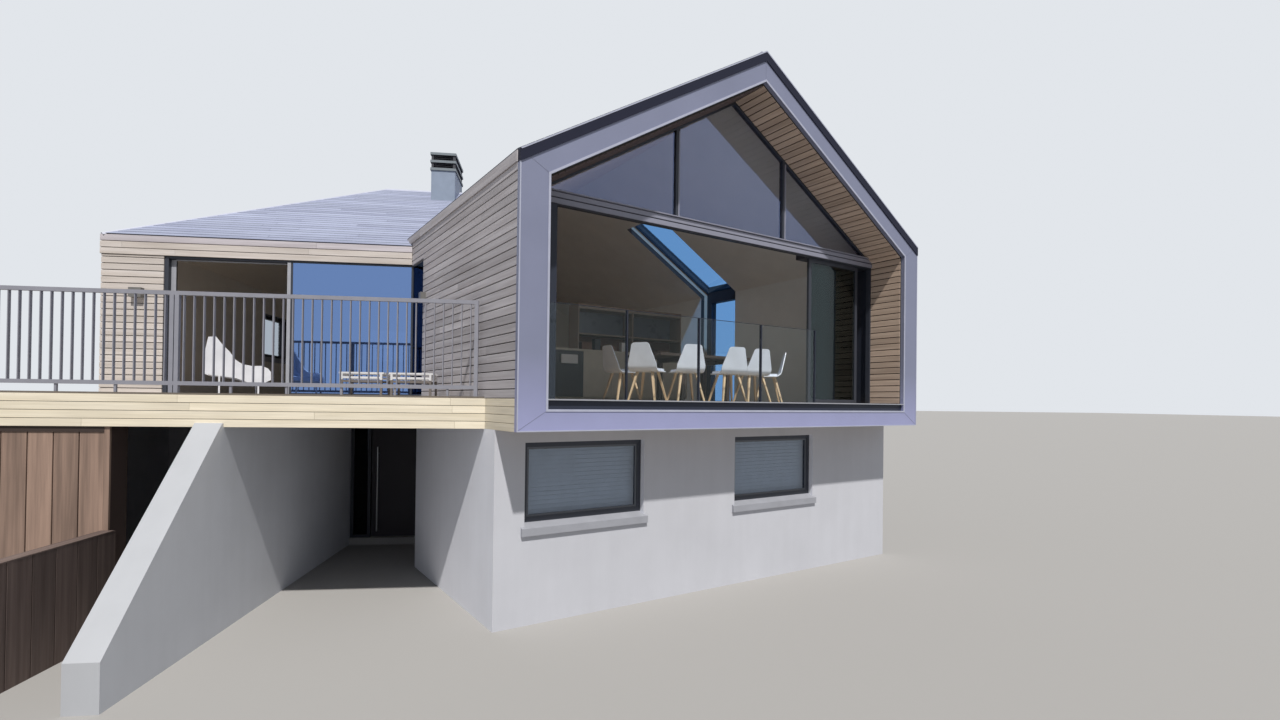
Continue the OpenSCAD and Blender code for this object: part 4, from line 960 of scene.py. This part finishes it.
def line_transom():
    """Grey profiles on the transom and narrow bars on the mullions over it."""
    inner = SHELL_T + LINING_T + PROFILE_CLEAR
    level = TRANSOM_H + TRANSOM_T
    bars = Pieces("front_bars", 53)
    for rise, height, depth in PROFILES:
        bars.bar((inner, REVEAL_D - depth, TRANSOM_H + rise), (GABLE_W - 2 * inner, height, depth))
    for t in (GABLE_W / 2 - MULLION_OFF, GABLE_W / 2 + MULLION_OFF):
        top = gable_top(t) - (SHELL_T + FRAME_W) / SLOPE_COS - BAR_CLEAR
        bars.bar((t + BAR_IN, REVEAL_D - BAR_D, level), (BAR_W, top - level, BAR_D))
    bars.build([painted("grey_strip", (0.245, 0.25, 0.315))])


# Dark strips at the gable front
STRIP_D = 0.020
POST_STRIP_W = 0.018
POST_STRIP_D = 0.042
TOP_STRIP_T = 0.006
TOP_STRIP_IN = 0.004
JAMB_T = 0.665
JAMB_W = 0.085
STACK_D = 0.600
STACK_W = 0.012


def darken_front():
    """Dark strips over the casing's bottom, as painted shade of the recess there, on the balustrade's posts
    and top, and on both jambs.
    """
    low = -FLOOR_T + RAIL_H
    black = Pieces("front_dark_strip", 54)
    # painted shade: a dark strip for the shaded recess over the casing's bottom rail
    black.bar((CASING_W, CASING_D - STRIP_D, low), (GABLE_W - 2 * CASING_W, -TRIM_PROUD - low, STRIP_D))
    for i in range(BAYS + 1):
        t = POST_START + i * POST_PITCH
        black.bar((t - POST_STRIP_W / 2, POST_S - POST_STRIP_D / 2, 0),
                  (POST_STRIP_W, POST_H, POST_STRIP_D))
    black.bar((POST_START, POST_S - POST_STRIP_W / 2, POST_H - TOP_STRIP_IN),
              (BAYS * POST_PITCH, TOP_STRIP_T, POST_STRIP_W))
    black.bar((JAMB_T, REVEAL_D - STRIP_D, 0), (JAMB_W, TRANSOM_H, STRIP_D))
    black.block(at_gable(GABLE_W - SHELL_T - STACK_W, REVEAL_D + FRAME_D, 0), S, Z, T,
                (STACK_D, TRANSOM_H, STACK_W))
    black.build([painted("front_dark", (0.024, 0.029, 0.046), 0.5, gloss=0.3)])


def lay_reveal(pieces, origin, v, n, low, high):
    lay_boards(pieces, origin, S, v, n, [rectangle(CASING_D, REVEAL_D, low, high)],
               thick=REVEAL_BOARD, gap=REVEAL_GAP, chamfer=FINE_CHAMFER)


def board_reveal():
    """Boards on both cheeks of the reveal and on the slopes over them. The left ones are painted dark, as
    painted shade.
    """
    tan = board_wood("reveal_wood", (0.61, 0.47, 0.37), (0.45, 0.335, 0.26), spread=0.14)
    # painted shade: the left cheek and slope get a dark copy of the tan wood
    shaded_tan = board_wood("reveal_painted_shade", (0.125, 0.088, 0.080), (0.085, 0.058, 0.054), spread=0.12)
    inner = SHELL_T + LINING_T
    eave = gable_top(inner) - inner / SLOPE_COS
    rake = (GABLE_W / 2 - inner) / SLOPE_COS
    for name, wood, t, across in (
        ("reveal_boards", tan, GABLE_W - inner, -T),
        ("reveal_left_boards", shaded_tan, inner, T),
    ):
        reveal = Pieces(name, 55)
        up = (across + Z * SLOPE).normalized()
        down = (across * SLOPE - Z).normalized()
        lay_reveal(reveal, at_gable(t, 0, 0), Z, across, 0, eave - CHEEK_CLEAR)
        lay_reveal(reveal, at_gable(t, 0, eave), up, down, RAKE_FOOT, rake - RAKE_CLEAR)
        reveal.build([wood])


# The pale line lies on the slot's far side, between two depths under the shell's outer face
LINE_OUT = 0.110
LINE_IN = 0.270
LINE_T = 0.006


def fit_slot():
    """A pale line on the far side of the glazed slot, up the wall and on along the roof. Its colour is
    painted warm to cancel the blue light it gets through the slot glass.
    """

    def corner(t, d):
        return at_gable(t, SLOT_FAR, gable_top(t) - d / SLOPE_COS)

    right_out, right_in = GABLE_W - LINE_OUT, GABLE_W - LINE_IN
    turn_out, turn_in = corner(right_out, LINE_OUT), corner(right_in, LINE_IN)
    line = Pieces("slot_line", 61)
    line.prism([at_gable(right_in, SLOT_FAR, 0), at_gable(right_out, SLOT_FAR, 0), turn_out, turn_in],
               S * -LINE_T)
    line.prism([turn_in, turn_out, corner(SLOT_TOP, LINE_OUT), corner(SLOT_TOP, LINE_IN)], S * -LINE_T)
    line.build([painted("slot_line", (0.72, 0.58, 0.46), 0.5)])


# Lower front windows: a blind with a dark band over it behind the frame, and a sash ring in the frame
BLIND_IN = 0.012
BLIND_EDGE = 0.020
BLIND_BAND_DROP = 0.075
BLIND_BAND_H = 0.070
BLIND_BAND_D = 0.040
SLATS_LESS = 0.080
SLAT_PITCH = 0.054
SLAT_GAP = 0.004
SLAT_LEAN = 0.016
SLAT_T = 0.003
SASH_IN = 0.010
SASH_W = 0.026
SASH_D = 0.014


def fit_windows():
    """Sash rings and blinds in the two lower front windows."""
    low = -WINDOW_HEAD - WINDOW_H
    sash_s = REVEAL_D + WINDOW_IN + SASH_IN
    blind_s = REVEAL_D + WINDOW_IN + FRAME_D + BLIND_IN
    width = WINDOW_W - 2 * BLIND_EDGE
    wide, tall = WINDOW_W - 2 * FRAME_W, WINDOW_H - 2 * FRAME_W
    high = SLAT_PITCH - SLAT_GAP
    slat = ((0, 0), (SLAT_LEAN, high), (SLAT_LEAN + SLAT_T, high), (SLAT_T, 0))
    slats = Pieces("window_blinds", 71)
    rings = Pieces("window_sashes", 72)
    for a in (WINDOW_A, WINDOW_B):
        for i in range(int((WINDOW_H - SLATS_LESS) / SLAT_PITCH)):
            z = low + BLIND_EDGE + i * SLAT_PITCH
            slats.prism([at_gable(a + BLIND_EDGE, blind_s + ds, z + dz) for ds, dz in slat], T * width)
        rings.bar((a + BLIND_EDGE, blind_s, low + WINDOW_H - BLIND_BAND_DROP),
                  (width, BLIND_BAND_H, BLIND_BAND_D))
        for t, z, w, h in (
            (0, 0, wide, SASH_W),
            (0, tall - SASH_W, wide, SASH_W),
            (0, SASH_W, SASH_W, tall - 2 * SASH_W),
            (wide - SASH_W, SASH_W, SASH_W, tall - 2 * SASH_W),
        ):
            rings.bar((a + FRAME_W + t, sash_s, low + FRAME_W + z), (w, h, SASH_D))
    slats.build([painted("blind", (0.66, 0.68, 0.73), 0.6)])
    rings.build([painted("sash", (0.10, 0.11, 0.13), 0.4)])


# Terrace door: a pale jamb, a pale head and a pale edge on the sliding leaf
EDGE_FOOT = 0.030
JAMB_EDGE_W = 0.070
JAMB_EDGE_LESS = 0.070
HEAD_EDGE_H = 0.018
HEAD_EDGE_DROP = 0.050
HEAD_EDGE_LESS = 0.115
LEAF_EDGE_W = 0.052
LEAF_EDGE_OFF = 0.041
LEAF_EDGE_D = 0.008
DOOR_EDGE_D = 0.012


def fit_door():
    """Pale edges in the terrace door opening."""
    front = WING_Y + CORNER_IN
    back = front + FRAME_D - DOOR_EDGE_D / 2
    left = -WING_LEN + PIER_W + FRAME_W
    edges = Pieces("door_edges", 81)
    edges.block(at_wing(left, back, EDGE_FOOT), X, Z, Y,
                (JAMB_EDGE_W, DOOR_H - JAMB_EDGE_LESS, DOOR_EDGE_D))
    edges.block(at_wing(left + JAMB_EDGE_W, back, DOOR_H - HEAD_EDGE_DROP), X, Z, Y,
                (DOOR_MID - left - HEAD_EDGE_LESS, HEAD_EDGE_H, DOOR_EDGE_D))
    edges.block(at_wing(DOOR_MID - LEAF_EDGE_OFF, front - LEAF_EDGE_D, EDGE_FOOT), X, Z, Y,
                (LEAF_EDGE_W, DOOR_H - 2 * EDGE_FOOT, LEAF_EDGE_D))
    edges.build([painted("door_strip", (0.36, 0.37, 0.41))])


# Kitchen run: its colours, then the things on the worktop as (place, width, height, depth, colour)
DARK, WHITE, SMOKE, BROWN = range(4)
THINGS = (
    (2.98, 0.22, 0.16, 0.20, BROWN),
    (3.26, 0.12, 0.24, 0.12, DARK),
    (3.46, 0.30, 0.12, 0.22, BROWN),
    (3.86, 0.10, 0.20, 0.10, WHITE),
    (4.25, 0.26, 0.15, 0.20, DARK),
    (4.72, 0.30, 0.10, 0.20, BROWN),
)
THINGS_IN = 0.250
FRONT_T = 0.012
FRONT_GAP = 0.004
FRONT_FOOT = 0.062
FRONT_H = 0.830
PLATE_T = 0.020
PLATE_W = 0.330
PLATE_H = 0.160
PLATE_IN = 0.140
PLATE_Z = 0.660
NICHE_EDGE = 0.030
NICHE_JOINT = 0.005
NICHE_BACK = 0.037
PANEL_T = 0.010
CUPBOARD_Z = 1.262
CUPBOARD_H = 0.440
SPLASH_H = 0.290
SPLASH_RISE = 0.004


def fit_kitchen():
    """A dark front with a white plate, panels in the niche and a few things on the worktop."""
    run = Pieces("kitchen_fronts", 91)
    run.bar((KITCHEN_T + FRONT_GAP, KITCHEN_S - FRONT_T, FRONT_FOOT),
            (KITCHEN_UNIT - 2 * FRONT_GAP, FRONT_H, FRONT_T), DARK)
    run.bar((KITCHEN_T + PLATE_IN, KITCHEN_S - FRONT_T - PLATE_T, PLATE_Z),
            (PLATE_W, PLATE_H, PLATE_T), WHITE)
    back = KITCHEN_S + KITCHEN_D - NICHE_BACK
    split = KITCHEN_T + 3 * KITCHEN_UNIT
    for a, b in (
        (KITCHEN_T + KITCHEN_UNIT + NICHE_EDGE, split - NICHE_JOINT),
        (split + NICHE_EDGE, KITCHEN_T + KITCHEN_L - NICHE_EDGE),
    ):
        run.bar((a, back, CUPBOARD_Z), (b - a, CUPBOARD_H, PANEL_T), SMOKE)
        run.bar((a, back, COUNTER_H + SPLASH_RISE), (b - a, SPLASH_H, PANEL_T), BROWN)
    for t, width, height, depth, colour in THINGS:
        run.bar((t, KITCHEN_S + THINGS_IN, COUNTER_H), (width, height, depth), colour)
    run.build([
        painted("kitchen_dark", (0.030, 0.030, 0.034), 0.4),
        painted("kitchen_white", (0.70, 0.70, 0.72), 0.5),
        painted("kitchen_smoke", (0.13, 0.14, 0.17), 0.3),
        painted("kitchen_brown", (0.16, 0.09, 0.06), 0.6),
    ], bevel=0.003)


# Heights over the upper floor at which a colour changes
KITCHEN_LINE = COUNTER_H + 0.004
SHELL_LINE = SEAT_H - 0.016
TABLE_LINE = LOW_TABLE_H - 0.100
CASING_LINE = 0.100
CASING_FADE = 0.400


def dress_walls():
    # painted shade: the left wall and left roof slope inside are painted browner and darker than the right
    # ones
    shaded_room_colour = (0.80, 0.64, 0.52)
    dress(["gable_left_wall"], wall_core("core_left", -T, shaded_room_colour))
    dress(["gable_right_wall"], wall_core("core_right", T, (0.80, 0.82, 0.82)))
    dress(["gable_rear_wall"], wall_core("core_rear", S))
    dress(["wing_front_wall"], wall_core("core_front", -Y))
    dress(["wing_end_wall"], wall_core("core_end", -X))
    dress(["wing_rear_wall"], wall_core("core_back", Y))
    dress(["gable_roof_left"], roof_core("core_roof_left", shaded_room_colour))
    dress(["gable_roof_right"], roof_core("core_roof_right", (0.90, 0.88, 0.85)))
    dress(["wing_roof_front", "wing_roof_back", "wing_roof_hip"], roof_core("core_roof_wing"))
    lower = [f"lower_{side}_wall" for side in ("front", "left", "right", "rear", "end", "back")]
    # painted light: render faces that look along -T are painted 1.46 times lighter
    dress(lower + ["recess_pier", "recess_lintel"],
          render_coat("render", (0.555, 0.565, 0.615), painted_shading_toward=-T, factor=1.46))
    # painted shade: the buttress's front faces are painted darker, by 0.70
    dress(["left_buttress"], render_coat("buttress_render", (0.635, 0.655, 0.70), factor=0.70))
    dress(["ground_floor"], render_coat("screed", (0.45, 0.44, 0.43)))
    dress(["plank_wall"], render_coat("plank_core", (0.105, 0.070, 0.060)))
    dress(["plank_retaining_wall"], render_coat("retaining_core", (0.045, 0.032, 0.028)))
    dress(["gable_floor", "wing_floor"], floor_boards("oak", (0.42, 0.32, 0.22), (0.30, 0.22, 0.15), S))
    dress(["terrace_deck"], painted("deck_core", (0.05, 0.045, 0.04), 0.8))
    dress(["terrace_fascia"], painted("fascia_core", (0.14, 0.12, 0.10), 0.6))
    dress(["reveal_lining"], painted("reveal_core", (0.03, 0.025, 0.02), 0.8))


def dress_metal():
    dress(["window_frames", "entrance_frame", "gable_window_frame", "sliding_leaves", "slot_frame",
           "terrace_door_frame"], painted("dark_frame", (0.040, 0.045, 0.060), 0.42, gloss=0.35))
    dress(["window_sills", "gable_sill"], painted("sill_metal", (0.33, 0.34, 0.38), 0.4))
    dress(["entrance_door"], painted("door_wood", (0.034, 0.031, 0.040), 0.5, gloss=0.3))
    dress(["door_hinges", "door_pull"], painted("bare_steel", (0.40, 0.41, 0.43), 0.35, 1.0))
    dress(["front_railing", "end_railing"], painted("rail_metal", (0.26, 0.262, 0.305), 0.4))
    # painted light: the casing's colour fades to a paler one toward its bottom, where it showed brighter
    dress(["gable_casing"],
          painted("casing_zinc", (0.215, 0.232, 0.335), 0.45, 0.15, 0.05, 1.2,
                  above=FLOOR + CASING_LINE, below=(0.33, 0.345, 0.56), fade=CASING_FADE))
    dress(["verge_trim"], painted("dark_trim", (0.018, 0.020, 0.038), 0.6, gloss=0.15))
    dress(["chimney_stack"], painted("chimney_metal", (0.25, 0.30, 0.385), 0.5))
    dress(["chimney_cowl"], cowl_metal("cowl_metal"))
    dress(["wall_lamps"], painted("lamp_metal", (0.16, 0.155, 0.15), 0.4))


def dress_furniture():
    """The kitchen is paler up to its worktop. Chairs have wooden legs, and the low tables dark ones."""
    dress(["kitchen_units"],
          painted("kitchen_paint", (0.24, 0.195, 0.165), above=FLOOR + KITCHEN_LINE,
                  below=(0.56, 0.52, 0.45)))
    dress(["dining_table"], painted("table_wood", (0.05, 0.035, 0.028), 0.35))
    # painted shade: the white shells are tinted blue for the cool shade on them
    dress(["dining_chairs"],
          painted("chair_shell", (0.76, 0.81, 0.93), 0.4, above=FLOOR + SHELL_LINE,
                  below=(0.62, 0.47, 0.31)))
    dress(["lounge_chair"], painted("garden_white", (0.72, 0.73, 0.78), 0.6))
    dress(["low_tables"],
          painted("garden_slats", (0.70, 0.70, 0.72), 0.6, above=FLOOR + TABLE_LINE,
                  below=(0.16, 0.14, 0.13)))


def dress_glass():
    # painted reflection: the mirror colour is blue for the sky, as mirror rays see only the pale backdrop
    dress(["gable_glass"], pane("glass_upper", (0.86, 0.88, 0.90), (0.28, 0.35, 0.60), 0.24))
    dress(["sliding_glass"], pane("glass_leaf", (0.66, 0.72, 0.72), (0.42, 0.48, 0.49), 0.025))
    # painted sky: the slot glass is tinted blue, so the backdrop seen through it reads as sky
    dress(["slot_glass"], pane("glass_slot", (0.41, 0.62, 0.86), (0.9, 0.95, 1.0), 0.0))
    dress(["glass_balustrade"], pane("glass_rail", (0.96, 0.975, 0.97), (0.40, 0.46, 0.46), 0.0))
    # painted reflection: a strong blue mirror for the sky, dulled on faces that look along -T
    dress(["terrace_door_glass"],
          pane("glass_sky", (0.30, 0.36, 0.48), (0.205, 0.33, 0.635), 0.80, dull=-T))
    # painted shade: the sidelight is tinted nearly black for the dark recess behind it
    dress(["entrance_sidelight"], pane("glass_side", (0.16, 0.17, 0.19), (0.30, 0.32, 0.36), 0.0))
    # painted reflection: a faint blue mirror for the sky
    dress(["window_glass"], pane("glass_window", (0.80, 0.84, 0.88), (0.75, 0.85, 1.0), 0.08))


bpy.context.scene.view_settings.view_transform = "Standard"
add_camera()
add_sun()
add_room_lamp()
add_sky()
add_stage()
dress_walls()
dress_metal()
dress_furniture()
dress_glass()
clad_walls()
clad_fascia()
lay_deck()
clad_roofs()
clad_plank_wall()
clad_retaining_wall()
line_casing()
line_transom()
darken_front()
board_reveal()
fit_slot()
fit_windows()
fit_door()
fit_kitchen()
